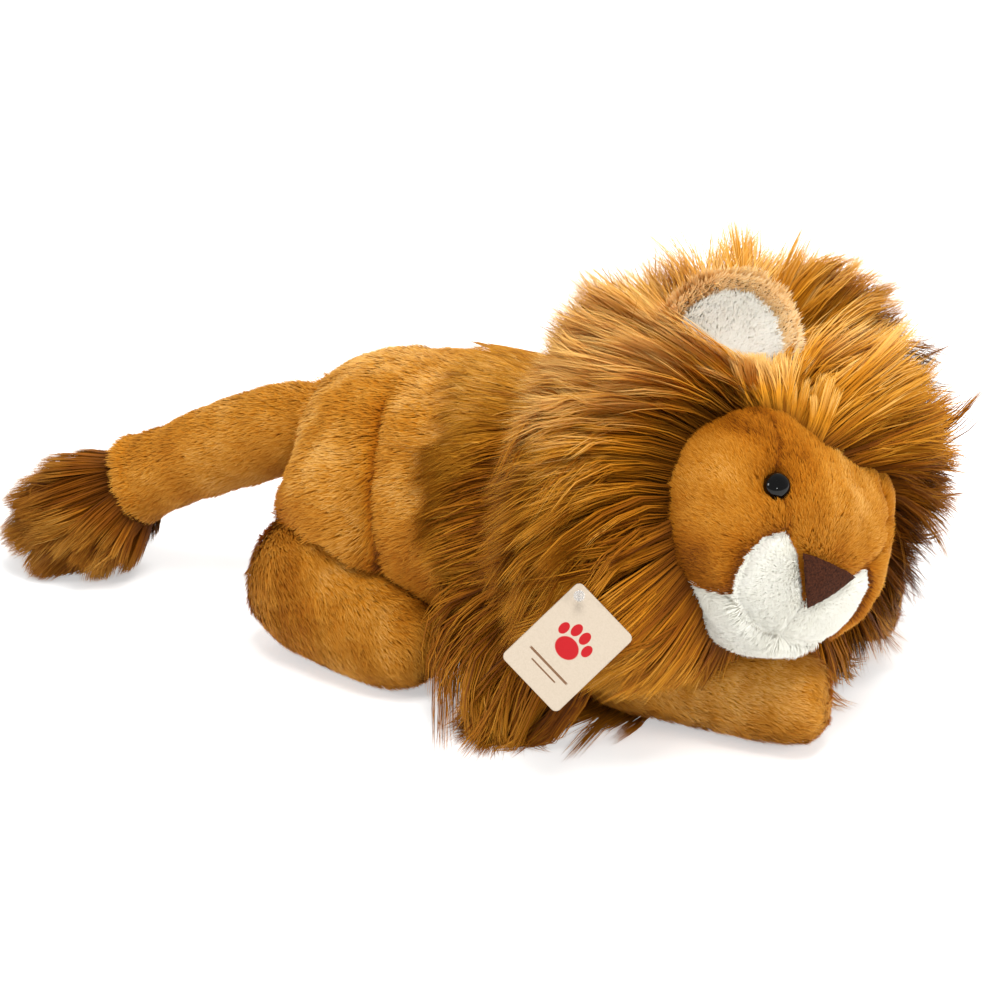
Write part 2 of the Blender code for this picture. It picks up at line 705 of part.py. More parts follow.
def make_ear(side):
    """An ear: its golden back, a cupped disc, and its white lining. It returns their outer form too."""
    sign = -1 if side == "right" else 1
    seat = sided(side, EAR_SEAT)
    frame = (
        HEAD_FRAME
        @ Matrix.Translation(seat)
        @ Matrix.Rotation(-sign * EAR_LEAN, 4, "X")
        @ Matrix.Rotation(-sign * EAR_FACING, 4, "Z")
    )

    def dish(name, share, thickness, forward, finish):
        bm = bmesh.new()
        bmesh.ops.create_uvsphere(bm, u_segments=16, v_segments=10, radius=1)
        for vertex in bm.verts:
            y, z = vertex.co.y * EAR_WIDTH / 2 * share, vertex.co.z * EAR_HEIGHT / 2 * share
            bend = EAR_CUP * ((y / EAR_WIDTH * 2) ** 2 + (z / EAR_HEIGHT * 2) ** 2)
            vertex.co = Vector((vertex.co.x * thickness / 2 + bend + forward, y, z + EAR_HEIGHT * EAR_RISE_SHARE))
        bmesh.ops.transform(bm, matrix=frame, verts=bm.verts)
        return link(name, mesh_from(bm, name), finish)

    back = dish("ear_back_" + side, 1.0, EAR_THICKNESS, 0.0, "golden_plush")
    lining = dish("ear_lining_" + side, EAR_LINING_SHARE, EAR_LINING_THICKNESS, EAR_THICKNESS / 3, "white_plush")
    whole = link("ear_form_" + side, back.data.copy())
    cut(back, grown(lining, CLEARANCE, "lining_room_" + side))
    keep_largest(back)
    axis = (frame.to_3x3() @ Vector((0.0, 1.0, 0.0))).normalized()
    return back, lining, whole, frame.translation.copy(), axis


def make_ruff():
    """The mane round the face."""
    measures = form(
        RUFF_REAR,
        RUFF_FRONT,
        RUFF_WIDTH,
        RUFF_HEIGHT,
        RUFF_SHARES,
        2 * RUFF_LOCKS,
        reach=RUFF_REACH_SHARES,
        locks=RUFF_LOCKS,
        lock_share=RUFF_LOCK_SHARE,
    )
    return soft_solid("face_mane", "long_mane_plush", measures, frame=HEAD_FRAME)


def make_cape():
    """The mane over the shoulders and chest."""
    measures = form(
        CAPE_REAR,
        CAPE_FRONT,
        CAPE_WIDTH,
        CAPE_HEIGHT,
        CAPE_SHARES,
        2 * CAPE_LOCKS,
        locks=CAPE_LOCKS,
        lock_share=CAPE_LOCK_SHARE,
    )
    return soft_solid("shoulder_mane", "long_mane_plush", measures)


def rounded_card(width, length, corner):
    """The outline of a card with rounded corners, centred."""
    points = []
    for turn in range(4):
        centre_x = (width / 2 - corner) * (1 if turn in (0, 3) else -1)
        centre_y = (length / 2 - corner) * (1 if turn in (0, 1) else -1)
        for step in range(3):
            angle = (turn + step / 2) * math.pi / 2
            points.append((centre_x + corner * math.cos(angle), centre_y + corner * math.sin(angle)))
    return points


def make_tag():
    """The swing tag: a folded card's front leaf, inner page and back leaf, on a nylon pin."""
    frame = frame_at(TAG_CENTRE, TAG_FACING, TAG_UP)
    outline = rounded_card(TAG_WIDTH, TAG_LENGTH, TAG_CORNER)
    pitch = TAG_LEAF + TAG_LEAF_GAP
    hole = Vector((-TAG_WIDTH / 2 + TAG_HOLE_INSET, TAG_LENGTH / 2 - TAG_HOLE_INSET, 0.0))
    pin_frame = frame @ Matrix.Translation(hole)
    bore = rod("tag_bore", TAG_HOLE_RADIUS, -OVERRUN, OVERRUN, pin_frame, sides=10)
    leaves = {}
    for level, name in enumerate(("tag_back_leaf", "tag_page", "tag_front_leaf")):
        leaf = prism(name, outline, TAG_LEAF, frame @ Matrix.Translation(UP * level * pitch), "tag_card")
        leaves[name] = cut(leaf, bore)
    top = 2 * pitch + TAG_LEAF / 2 + TAG_PIN_SLACK
    pin = rod("tag_pin", TAG_PIN_RADIUS, -TAG_PIN_DEPTH, top + TAG_PIN_HEAD / 2, pin_frame, "clear_nylon", 10)
    head = rod("tag_pin_head", TAG_PIN_HEAD_RADIUS, top, top + TAG_PIN_HEAD, pin_frame, sides=12)
    combine(pin, head, "UNION")
    fold = frame @ Vector((-TAG_WIDTH / 2, 0.0, pitch))
    return leaves, pin, pin_frame, fold


FLOOR = block("floor_cut", Vector((-LARGE, -LARGE, -LARGE)), Vector((LARGE, LARGE, 0.0)))
ABOVE_FLOOR = block("mane_floor_cut", Vector((-LARGE, -LARGE, -LARGE)), Vector((LARGE, LARGE, FLOOR_GAP)))

torso_cover, torso_filling, torso_form = make_torso()
haunches = {side: make_haunch(side) for side in ("right", "left")}
tail_cover, tail_filling, tail_form, tuft = make_tail()
head_cover, head_filling, head_form, panels = make_head()
nose = make_nose(head_form, panels, head_cover)
eye_parts = []
for side in ("right", "left"):
    eye_parts.extend(make_eye(side, head_form, head_cover, head_filling))

# Each leg swings outwards about its root, and the torso, haunches and manes leave it room
leg_rooms = []
leg_parts = []
for kind, rear, toe, width, height, shares, pivot, splay in (
    ("foreleg", FORELEG_REAR, FORELEG_TOE, FORELEG_WIDTH, FORELEG_HEIGHT, FORELEG_SHARES, FORELEG_PIVOT, FORELEG_SPLAY),
    ("hindleg", HINDLEG_HEEL, HINDLEG_TOE, HINDLEG_WIDTH, HINDLEG_HEIGHT, HINDLEG_SHARES, HINDLEG_PIVOT, HINDLEG_SPLAY),
):
    for side in ("right", "left"):
        cover, filling, outer = make_leg(kind, side, rear, toe, width, height, shares)
        outward = -splay if side == "right" else splay
        room = swept([outer], sided(side, pivot), "Z", (0.0, outward / 2, outward), MOVING_GAP, f"{kind}_room_{side}")
        leg_rooms.append(room)
        leg_parts.extend((piece, sided(side, pivot)) for piece in (cover, filling))
        press_flat(cover)
        press_flat(filling)
        cut(torso_cover, room)
        cut(torso_filling, room)
        if kind == "hindleg":
            cut(haunches[side], room)

tail_room = swept([tail_form], TAIL_PIVOT, "Z", (-TAIL_SWING, 0.0, TAIL_SWING), MOVING_GAP, "tail_room")
cut(torso_cover, tail_room)
cut(torso_filling, tail_room)
for side, haunch in haunches.items():
    keep_largest(cut(haunch, tail_room, grown(torso_form, CLEARANCE, "haunch_seat_" + side)))
press_flat(torso_cover)
press_flat(torso_filling)
keep_largest(torso_cover)

ruff = make_ruff()
cut(ruff, grown(head_form, CLEARANCE, "head_seat"))
ears = {side: make_ear(side) for side in ("right", "left")}
for side, (back, lining, whole, hinge, axis) in ears.items():
    room = swept([whole], hinge, axis, (-EAR_FOLD, 0.0, EAR_FOLD), MOVING_GAP, "ear_room_" + side)
    for piece in (ruff, head_cover, head_filling):
        cut(piece, room)
keep_largest(head_cover)

leaves, tag_pin, pin_frame, fold = make_tag()
fold_axis = -pin_frame.col[1].to_3d()
openings = (0.0, TAG_OPEN / 2, TAG_OPEN)
leaf_room = swept([leaves["tag_front_leaf"]], fold, fold_axis, openings, MOVING_GAP, "leaf_room")
swings = (-TAG_SWING, 0.0, TAG_SWING)
swing_axis = pin_frame.col[2].to_3d()
tag_room = swept([*leaves.values(), leaf_room], pin_frame.translation, swing_axis, swings, MOVING_GAP, "tag_room")

# The torso and forelegs stay clear of the mane as the head turns
turns = (HEAD_LOOK_BACK, 0.0, HEAD_LOOK_AHEAD)
counter_turns = tuple(-turn for turn in turns)
torso_room = swept([torso_form], HEAD_PIVOT, "Z", counter_turns, MOVING_GAP, "torso_room")
for piece in (ruff, head_cover, head_filling):
    cut(piece, torso_room)
for room in leg_rooms[:2]:
    turned = swept([room], HEAD_PIVOT, "Z", counter_turns, 0.0, room.name + "_turned")
    for piece in (ruff, head_cover, head_filling, *panels.values()):
        cut(piece, turned)
cut(ruff, ABOVE_FLOOR)
keep_largest(ruff)

cape = make_cape()
cut(cape, grown(torso_form, 2 * CLEARANCE, "torso_seat"), *leg_rooms)
cut(cape, swept([ruff, head_form], HEAD_PIVOT, "Z", turns, MOVING_GAP, "ruff_room"))
cut(cape, ABOVE_FLOOR)
keep_largest(cape)

pin_room = grown(tag_pin, CLEARANCE, "pin_room")
for piece in (ruff, cape):
    keep_largest(cut(piece, tag_room, pin_room))
keep_largest(head_cover)

for piece in LION.objects:
    merge_flat(piece)
    piece.data.shade_smooth()

# Each moving piece's origin is on the axis that it turns about
for piece in (head_cover, head_filling, nose, ruff, tag_pin, *panels.values(), *eye_parts):
    put_origin(piece, HEAD_PIVOT)
for piece in (tail_cover, tail_filling, tuft):
    put_origin(piece, TAIL_PIVOT)
for piece, pivot in leg_parts:
    put_origin(piece, pivot)
for back, lining, _, hinge, _ in ears.values():
    put_origin(back, hinge)
    put_origin(lining, hinge)
put_origin(leaves["tag_back_leaf"], pin_frame.translation)
put_origin(leaves["tag_page"], pin_frame.translation)
put_origin(leaves["tag_front_leaf"], fold)
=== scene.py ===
"""A plush lion lying down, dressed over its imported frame: pile, mane, face and swing tag."""

import logging
import math
from dataclasses import dataclass, field
from enum import Enum
from typing import Callable, Optional, Sequence

import bmesh
import bpy
import numpy as np
from mathutils import Matrix, Vector
from mathutils.bvhtree import BVHTree


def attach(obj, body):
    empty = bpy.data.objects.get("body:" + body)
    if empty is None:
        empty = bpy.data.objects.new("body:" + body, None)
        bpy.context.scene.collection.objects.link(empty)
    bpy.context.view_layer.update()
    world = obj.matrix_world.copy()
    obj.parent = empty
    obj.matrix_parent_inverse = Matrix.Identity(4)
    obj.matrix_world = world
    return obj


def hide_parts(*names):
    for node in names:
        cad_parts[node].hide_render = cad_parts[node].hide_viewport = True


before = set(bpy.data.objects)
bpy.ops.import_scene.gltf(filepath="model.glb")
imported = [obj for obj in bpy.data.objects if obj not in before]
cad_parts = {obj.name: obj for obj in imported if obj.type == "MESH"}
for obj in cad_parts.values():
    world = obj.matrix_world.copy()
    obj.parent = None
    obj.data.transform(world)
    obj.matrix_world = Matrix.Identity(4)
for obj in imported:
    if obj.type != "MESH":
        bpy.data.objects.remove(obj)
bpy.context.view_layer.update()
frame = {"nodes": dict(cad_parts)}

LOG = logging.getLogger("plush_lion")
Array = np.ndarray
Field = Callable[[Array], Array]
Chance = Callable[[Array, Array], Array]  # a fibre's chance to stay, from its place and the skin's normal
Place = tuple[float, float, float]
Outline = tuple[tuple[float, float], ...]
Stops = Sequence[tuple[float, str]]  # places from 0 to 1 and their hex colours
SQUARE_MM = 1e6  # square millimetres in a square metre
FLOOR_GAP = 0.0006  # how far above the floor the lowest points lie
BATCH = 4000  # how many roots are compared with all locks at a time, which spares the memory
WAVES = 7  # how many waves a ripple is made of
WAVES_REACH = 2.8  # and how high they reach together
LOTS_FROM, LOTS_SPAN, LOT_WIDE = 0.003, 0.988, 0.006  # where the fibres' map holds the dye lots
MAP_ROOT, MAP_TIP = 0.004, 0.996  # and where it holds the roots and the tips
RIBBON_PLACES, RIBBON_SHARES = (0, 0.25, 0.7, 1), (0.75, 1.0, 0.8, 0.0)  # a long fibre's width from root to tip


class Side(Enum):
    """The lion's own right and left. The value is the sign of y in its frame."""

    RIGHT = -1.0
    LEFT = 1.0

    @property
    def label(self) -> str:
        """The side as it stands in a piece's name."""
        return self.name.lower()


# Small sums


def linear(code: str) -> tuple[float, float, float, float]:
    """Turns an sRGB hex colour into linear RGBA.

    Args:
        code: The colour as "#RRGGBB".

    Returns:
        Red, green, blue and an alpha of 1.
    """
    shares = [int(code[i : i + 2], 16) / 255 for i in (1, 3, 5)]
    red, green, blue = (s / 12.92 if s <= 0.04045 else ((s + 0.055) / 1.055) ** 2.4 for s in shares)
    return red, green, blue, 1.0


def unit(vectors: Array) -> Array:
    """Vectors of length 1 along the last axis."""
    return vectors / np.maximum(np.linalg.norm(vectors, axis=-1, keepdims=True), 1e-12)


def dot(a: Array, b: Array) -> Array:
    """The dot product along the last axis, kept as a column."""
    return (a * b).sum(-1, keepdims=True)


def carried(points: Array, matrix: Matrix) -> Array:
    """The points as a matrix moves them."""
    parts = np.array(matrix)
    return points @ parts[:3, :3].T + parts[:3, 3]


def smooth_step(value: Array, low: float, high: float) -> Array:
    """0 below low, 1 above high, eased between."""
    share = np.clip((value - low) / (high - low), 0, 1)
    return share * share * (3 - 2 * share)


def ripple(points: Array, wavelength: float, seed: int) -> Array:
    """A smooth uneven field, from about -1 to 1.

    Args:
        points: Where to read it, in metres.
        wavelength: The size of its patches, in metres.
        seed: Which field.

    Returns:
        One value for each point.
    """
    rng = np.random.default_rng(seed)
    total = np.zeros(len(points))
    for _ in range(WAVES):
        heading = unit(rng.normal(size=3))
        pace = math.tau / (wavelength * rng.uniform(0.6, 1.7))
        total += np.sin(points @ heading * pace + rng.uniform(0, math.tau))
    return total / WAVES_REACH


def ripples(points: Array, wavelength: float, seed: int) -> Array:
    """A smooth uneven vector field, each part from about -1 to 1."""
    return np.stack([ripple(points, wavelength, seed + 31 * axis) for axis in range(3)], axis=1)


def inside(outline: Sequence[tuple[float, float]], across: Array, up: Array) -> Array:
    """Whether each point lies inside a flat outline.

    Args:
        outline: The outline's corners.
        across: The points' first coordinates.
        up: The points' second coordinates.

    Returns:
        True or False for each point.
    """
    found = np.zeros(len(across), bool)
    corners = list(outline)
    for (ax, ay), (bx, by) in zip(corners, corners[1:] + corners[:1]):
        crosses = (ay > up) != (by > up)
        rise = by - ay if abs(by - ay) > 1e-12 else 1e-12
        found ^= crosses & (across < (bx - ax) * (up - ay) / rise + ax)
    return found


def line_distance(points: Array, line: Array) -> Array:
    """How far each point is from a line of straight stretches."""
    nearest = np.full(len(points), np.inf)
    for start, end in zip(line[:-1], line[1:]):
        along = end - start
        share = np.clip((points - start) @ along / (along @ along), 0, 1)
        nearest = np.minimum(nearest, np.linalg.norm(points - start - share[:, None] * along, axis=1))
    return nearest


# Materials


def add_node(
    tree: bpy.types.NodeTree, kind: str, inputs: Optional[dict] = None, stops: Stops = (), **settings
) -> bpy.types.Node:
    """Adds a node with its settings and links.

    Args:
        tree: The material's node tree.
        kind: The node's type name.
        inputs: For each socket, by name or number, a value or the output that feeds it.
        stops: A run's colours, each with its place from 0 to 1.
        **settings: The node's own settings.

    Returns:
        The new node.
    """
    node = tree.nodes.new(kind)
    for name, value in settings.items():
        setattr(node, name, value)
    for key, value in (inputs or {}).items():
        if isinstance(value, bpy.types.NodeSocket):
            tree.links.new(value, node.inputs[key])
        else:
            node.inputs[key].default_value = value
    if stops:
        elements = node.color_ramp.elements
        while len(elements) < len(stops):
            elements.new(0.5)
        for element, (place, code) in zip(elements, stops):
            element.position = place
            element.color = linear(code)
    return node


def mottled(
    tree: bpy.types.NodeTree, stops: Stops, **values: float
) -> tuple[bpy.types.NodeSocket, bpy.types.NodeSocket, bpy.types.NodeSocket]:
    """A colour that changes in soft patches over the piece.

    Args:
        tree: The material's node tree.
        stops: The colours, each with its place from 0 to 1.
        **values: The noise's own values, its scale in patches to the metre.

    Returns:
        The outputs with the place on the piece, the noise and the colour.
    """
    place = add_node(tree, "ShaderNodeTexCoord").outputs["Object"]
    noise = add_node(tree, "ShaderNodeTexNoise", {"Vector": place, **values}).outputs["Fac"]
    return place, noise, add_node(tree, "ShaderNodeValToRGB", {"Fac": noise}, stops).outputs["Color"]


def new_material(name: str, **sockets) -> tuple[bpy.types.Material, bpy.types.NodeTree, bpy.types.Node]:
    """A material with one Principled shader.

    Args:
        name: The material's name.
        **sockets: The shader's values, spaces in their names written as underscores.

    Returns:
        The material, its tree and the shader.
    """
    material = bpy.data.materials.new(name)
    material.use_nodes = True
    tree = material.node_tree
    tree.nodes.clear()
    values = {key.replace("_", " "): value for key, value in sockets.items()}
    shader = add_node(tree, "ShaderNodeBsdfPrincipled", values)
    add_node(tree, "ShaderNodeOutputMaterial", {"Surface": shader.outputs["BSDF"]})
    return material, tree, shader


@dataclass(frozen=True)
class PileFinish:
    """Dyed acrylic pile, cut and brushed: soft, matt, deep at the root and paler where the tips catch light.

    The pile's map holds each fibre's dye lot from left to right and its length from root to tip upwards.
    """

    name: str
    root: tuple[str, str]
    body: tuple[str, str, str]
    tip: tuple[str, str, str]
    deep: str  # the lowest dye lot, which the painted shade in seams and partings reaches
    sheen: str = "#E8A850"
    sheen_weight: float = 0.16
    roughness: float = 0.65
    root_share: float = 0.45
    tip_share: float = 0.55
    root_lots: tuple[float, float] = (0.1, 0.9)  # the dye lots that show the root's two colours
    lots: tuple[float, float, float, float] = (0.03, 0.22, 0.58, 0.97)  # and the four further up

    def material(self) -> bpy.types.Material:
        """Makes the material.

        Returns:
            The material.
        """
        material, tree, shader = new_material(
            self.name,
            Roughness=self.roughness,
            Sheen_Weight=self.sheen_weight,
            Sheen_Roughness=0.5,
            Sheen_Tint=linear(self.sheen),
            Specular_IOR_Level=0.12,
        )
        chart = add_node(tree, "ShaderNodeUVMap", uv_map="OFBake").outputs["UV"]
        lot, along, _ = add_node(tree, "ShaderNodeSeparateXYZ", {0: chart}).outputs
        runs = (
            zip(self.root_lots, self.root),
            zip(self.lots, (self.deep, *self.body)),
            zip(self.lots, (self.body[0], *self.tip)),
        )
        root, body, tip = (
            add_node(tree, "ShaderNodeValToRGB", {"Fac": lot}, list(run)).outputs["Color"] for run in runs
        )
        low = add_node(tree, "ShaderNodeMapRange", {"Value": along, "From Min": 0.0, "From Max": self.root_share})
        high = add_node(tree, "ShaderNodeMapRange", {"Value": along, "From Min": self.tip_share, "From Max": 1.0})
        lower = add_node(tree, "ShaderNodeMix", {0: low.outputs[0], 6: root, 7: body}, data_type="RGBA")
        colour = add_node(tree, "ShaderNodeMix", {0: high.outputs[0], 6: lower.outputs[2], 7: tip}, data_type="RGBA")
        tree.links.new(colour.outputs[2], shader.inputs["Base Color"])
        return material


@dataclass(frozen=True)
class BackingFinish:
    """Knitted polyester backing that the pile stands in: matt, with fine ribs, seen only as a dark ground."""

    name: str
    deep: str
    light: str
    rib: float = 0.0012
    patches_per_m: float = 60.0  # one in each 17 mm

    def material(self) -> bpy.types.Material:
        """Makes the material.

        Returns:
            The material.
        """
        material, tree, shader = new_material(self.name, Roughness=0.92, Specular_IOR_Level=0.1)
        stops = ((0.35, self.deep), (0.65, self.light))
        place, _, colour = mottled(tree, stops, Scale=self.patches_per_m, Detail=4.0)
        tree.links.new(colour, shader.inputs["Base Color"])
        waves_per_m = 1 / self.rib / math.tau
        ribs = add_node(tree, "ShaderNodeTexWave", {"Vector": place, "Scale": waves_per_m, "Distortion": 2.0})
        bump = add_node(tree, "ShaderNodeBump", {"Height": ribs.outputs["Fac"], "Strength": 0.5, "Distance": 0.0004})
        tree.links.new(bump.outputs["Normal"], shader.inputs["Normal"])
        return material


@dataclass(frozen=True)
class FeltFinish:
    """Brushed brown felt: fibres tangled flat, matt, with small dark and light flecks."""

    name: str = "nose_felt"
    deep: str = "#260F06"
    light: str = "#4C2716"
    fleck: float = 0.0011

    def material(self) -> bpy.types.Material:
        """Makes the material.

        Returns:
            The material.
        """
        material, tree, shader = new_material(
            self.name, Roughness=0.9, Specular_IOR_Level=0.2, Sheen_Weight=0.10, Sheen_Tint=linear("#A06848")
        )
        stops = ((0.36, self.deep), (0.64, self.light))
        _, flecks, colour = mottled(tree, stops, Scale=1 / self.fleck, Detail=3.0, Roughness=0.7)
        tree.links.new(colour, shader.inputs["Base Color"])
        bump = add_node(tree, "ShaderNodeBump", {"Height": flecks, "Strength": 0.9, "Distance": 0.0006})
        tree.links.new(bump.outputs["Normal"], shader.inputs["Normal"])
        return material


@dataclass(frozen=True)
class ResinFinish:
    """Moulded black acrylic of a safety eye: glossy all over, so that it shows the lamps as small bright spots."""

    name: str = "eye_acrylic"
    middle: str = "#030303"
    edge: str = "#080605"
    clouds_per_m: float = 90.0  # one in each 11 mm

    def material(self) -> bpy.types.Material:
        """Makes the material."""
        material, tree, shader = new_material(self.name, Roughness=0.07, IOR=1.49, Specular_IOR_Level=0.3)
        colour = mottled(tree, ((0.4, self.middle), (0.7, self.edge)), Scale=self.clouds_per_m, Detail=2.0)[2]
        tree.links.new(colour, shader.inputs["Base Color"])
        return material


@dataclass(frozen=True)
class PlainPlasticFinish:
    """Moulded polypropylene or clear nylon: smooth, a little waxy, with a faint flow mottle."""

    name: str
    deep: str
    light: str
    roughness: float = 0.35
    transmission: float = 0.0
    flows_per_m: float = 250.0  # one in each 4 mm

    def material(self) -> bpy.types.Material:
        """Makes the material."""
        material, tree, shader = new_material(
            self.name, Roughness=self.roughness, IOR=1.5, Transmission_Weight=self.transmission
        )
        colour = mottled(tree, ((0.35, self.deep), (0.65, self.light)), Scale=self.flows_per_m, Detail=2.0)[2]
        tree.links.new(colour, shader.inputs["Base Color"])
        return material


@dataclass(frozen=True)
class CardFinish:
    """Uncoated cream card: matt, with paper fibres, and on the front leaf a red paw and two ruled lines in ink.

    The print is drawn in the leaf's own frame, in metres from its middle.
    """

    name: str
    paper: tuple[str, str] = ("#C1B29E", "#C7B8A5")
    ink: str = "#B4151C"
    rule: str = "#7A5A40"
    fibre: float = 0.0009
    pad: tuple[float, float, float, float] = (0.0, -0.0005, 0.0062, 0.0052)
    toes: tuple[tuple[float, float, float, float], ...] = (
        (-0.0078, 0.0052, 0.0023, 0.0032),
        (-0.0028, 0.0088, 0.0024, 0.0034),
        (0.0028, 0.0088, 0.0024, 0.0034),
        (0.0078, 0.0052, 0.0023, 0.0032),
    )
    rules: tuple[tuple[float, float, float, float], ...] = (
        (0.0, -0.0125, 0.0125, 0.0006),
        (0.0, -0.0160, 0.0080, 0.0004),
    )
    mark_edge: tuple[float, float] = (0.96, 1.04)  # where the ink fades, as shares of a mark's size

    def mark(
        self,
        tree: bpy.types.NodeTree,
        place: bpy.types.NodeSocket,
        shape: tuple[float, float, float, float],
        round_off: bool,
    ) -> bpy.types.NodeSocket:
        """A printed oval or bar.

        Args:
            tree: The material's node tree.
            place: The output with the place on the leaf.
            shape: Its middle and its half sizes, in metres.
            round_off: Whether it is an oval and not a bar.

        Returns:
            An output that is 1 on the mark and 0 off it.
        """
        x, y, wide, high = shape
        moved = add_node(tree, "ShaderNodeVectorMath", {0: place, 1: (-x, -y, 0.0)}, operation="ADD")
        scaled = add_node(
            tree, "ShaderNodeVectorMath", {0: moved.outputs[0], 1: (1 / wide, 1 / high, 0.0)}, operation="MULTIPLY"
        )
        if round_off:
            reach = add_node(tree, "ShaderNodeVectorMath", {0: scaled.outputs[0]}, operation="LENGTH").outputs["Value"]
        else:
            sizes = add_node(tree, "ShaderNodeVectorMath", {0: scaled.outputs[0]}, operation="ABSOLUTE")
            parts = add_node(tree, "ShaderNodeSeparateXYZ", {0: sizes.outputs[0]})
            sides = {0: parts.outputs[0], 1: parts.outputs[1]}
            reach = add_node(tree, "ShaderNodeMath", sides, operation="MAXIMUM").outputs[0]
        low, high = self.mark_edge
        fade = {"Value": reach, "From Min": low, "From Max": high, "To Min": 1.0, "To Max": 0.0}
        return add_node(tree, "ShaderNodeMapRange", fade).outputs[0]

    def material(self, leaf: Optional[Matrix] = None) -> bpy.types.Material:
        """Makes the material.

        Args:
            leaf: The printed leaf's frame, or nothing for a bare leaf.

        Returns:
            The material.
        """
        material, tree, shader = new_material(self.name, Roughness=0.6, Specular_IOR_Level=0.35)
        stops = ((0.3, self.paper[0]), (0.62, self.paper[1]))
        place, pulp, colour = mottled(tree, stops, Scale=1 / self.fibre, Detail=4.0)
        if leaf is not None:
            centred = {"Vector": place, "Location": leaf.translation, "Rotation": leaf.to_euler()}
            on_leaf = add_node(tree, "ShaderNodeMapping", centred, vector_type="TEXTURE").outputs[0]
            paw = self.mark(tree, on_leaf, self.pad, True)
            for toe in self.toes:
                found = self.mark(tree, on_leaf, toe, True)
                paw = add_node(tree, "ShaderNodeMath", {0: paw, 1: found}, operation="MAXIMUM").outputs[0]
            ruled = [(self.mark(tree, on_leaf, rule, False), self.rule) for rule in self.rules]
            for share, code in ((paw, self.ink), *ruled):
                inked = {0: share, 6: colour, 7: linear(code)}
                colour = add_node(tree, "ShaderNodeMix", inked, data_type="RGBA").outputs[2]
        tree.links.new(colour, shader.inputs["Base Color"])
        bump = add_node(tree, "ShaderNodeBump", {"Height": pulp, "Strength": 0.25, "Distance": 0.0002})
        tree.links.new(bump.outputs["Normal"], shader.inputs["Normal"])
        return material


class Finishes:
    """Every finish of the lion, made once."""

    def __init__(self) -> None:
        """Makes the materials."""
        self.golden = PileFinish(
            "golden_acrylic_pile",
            root=("#8E4A06", "#AC620C"),
            body=("#A45A08", "#BC7214", "#DC9830"),
            tip=("#B87218", "#D89838", "#F4C678"),
            deep="#5E2E04",
        ).material()
        # the ear's rim: golden pile made pale as painted rim light, where lamps from above and behind catch its edge
        self.pale = PileFinish(
            "pale_golden_pile",
            root=("#ECB668", "#F8C880"),
            body=("#FAC87C", "#FFDA98", "#FFE8B8"),
            tip=("#FFE0A8", "#FFEEC6", "#FFF6E0"),
            deep="#8A5010",
            sheen="#FFE0A8",
        ).material()
        self.mane = PileFinish(
            "long_acrylic_mane",
            root=("#4E2604", "#7A420A"),
            body=("#7A3F08", "#B46E12", "#E2992A"),
            tip=("#A4600E", "#DE9C30", "#FAD284"),
            deep="#3E1C02",
            sheen_weight=0.05,
            roughness=0.5,
            root_share=0.4,
            tip_share=0.45,
        ).material()
        self.white = PileFinish(
            "white_acrylic_pile",
            root=("#E4E0D0", "#EAE7DA"),
            body=("#EAE7D9", "#EEECE0", "#F2F0E6"),
            tip=("#EEECE0", "#F2F0E6", "#F6F5EE"),
            deep="#D8D2C2",
            sheen="#FFFFFF",
        ).material()
        self.tuft = PileFinish(
            "tail_tuft_acrylic",
            root=("#4A2404", "#6E3A08"),
            body=("#6E3806", "#9A580E", "#C07C22"),
            tip=("#8E500C", "#C0842E", "#EAB862"),
            deep="#3A1A02",
            sheen_weight=0.05,
            roughness=0.5,
        ).material()
        self.golden_backing = BackingFinish("golden_knit_backing", "#96560E", "#AC6C1A").material()
        # under the mane and the tuft: a dark sheet whose colour is painted shade for the long pile's depths
        self.painted_shade_backing = BackingFinish("knit_backing_painted_shade", "#3E1E04", "#5A3008").material()
        self.white_backing = BackingFinish("white_knit_backing", "#E8E2D4", "#F2EEE4").material()
        self.felt = FeltFinish().material()
        self.resin = ResinFinish().material()
        self.washer = PlainPlasticFinish("washer_polypropylene", "#D8D8D4", "#ECECE8").material()
        self.nylon = PlainPlasticFinish("clear_nylon", "#E8E8E8", "#F6F6F6", 0.2, 0.8).material()


# Making meshes


def only(thing: bpy.types.Object) -> None:
    """Selects one object alone and makes it active."""
    bpy.ops.object.select_all(action="DESELECT")
    thing.select_set(True)
    bpy.context.view_layer.objects.active = thing


def applied(thing: bpy.types.Object) -> bpy.types.Object:
    """Applies an object's modifiers in their order."""
    only(thing)
    for modifier in list(thing.modifiers):
        bpy.ops.object.modifier_apply(modifier=modifier.name)
    return thing


def give_finish(thing: bpy.types.Object, material: bpy.types.Material) -> None:
    """Gives a piece one finish all over."""
    thing.data.materials.clear()
    thing.data.materials.append(material)


def new_object(name: str, mesh: bpy.types.Mesh, material: bpy.types.Material) -> bpy.types.Object:
    """Links a new object with its material.

    Args:
        name: The object's name.
        mesh: Its mesh.
        material: Its material.

    Returns:
        The object.
    """
    thing = bpy.data.objects.new(name, mesh)
    bpy.context.scene.collection.objects.link(thing)
    give_finish(thing, material)
    return thing


def dress(
    thing: bpy.types.Object, body: str, replaces: Sequence[str] = ()
) -> None:
    """Puts a finished piece on its body.

    Args:
        thing: The piece.
        body: The body that it moves with.
        replaces: The frame's nodes that it stands for.
    """
    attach(thing, body)
    if replaces:
        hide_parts(*replaces)
    LOG.info("%s: %d faces on %s", thing.name, len(thing.data.polygons), body)


def copied_form(name: str, nodes: Sequence[str], material: bpy.types.Material) -> bpy.types.Object:
    """One object with copies of frame nodes, their doubled points merged.

    Args:
        name: The new object's name.
        nodes: The nodes to copy.
        material: Its material.

    Returns:
        The new object.
    """
    bm = bmesh.new()
    for node in nodes:
        bm.from_mesh(frame["nodes"][node].data)
    bmesh.ops.remove_doubles(bm, verts=bm.verts, dist=1e-6)
    mesh = bpy.data.meshes.new(name)
    bm.to_mesh(mesh)
    bm.free()
    return new_object(name, mesh, material)


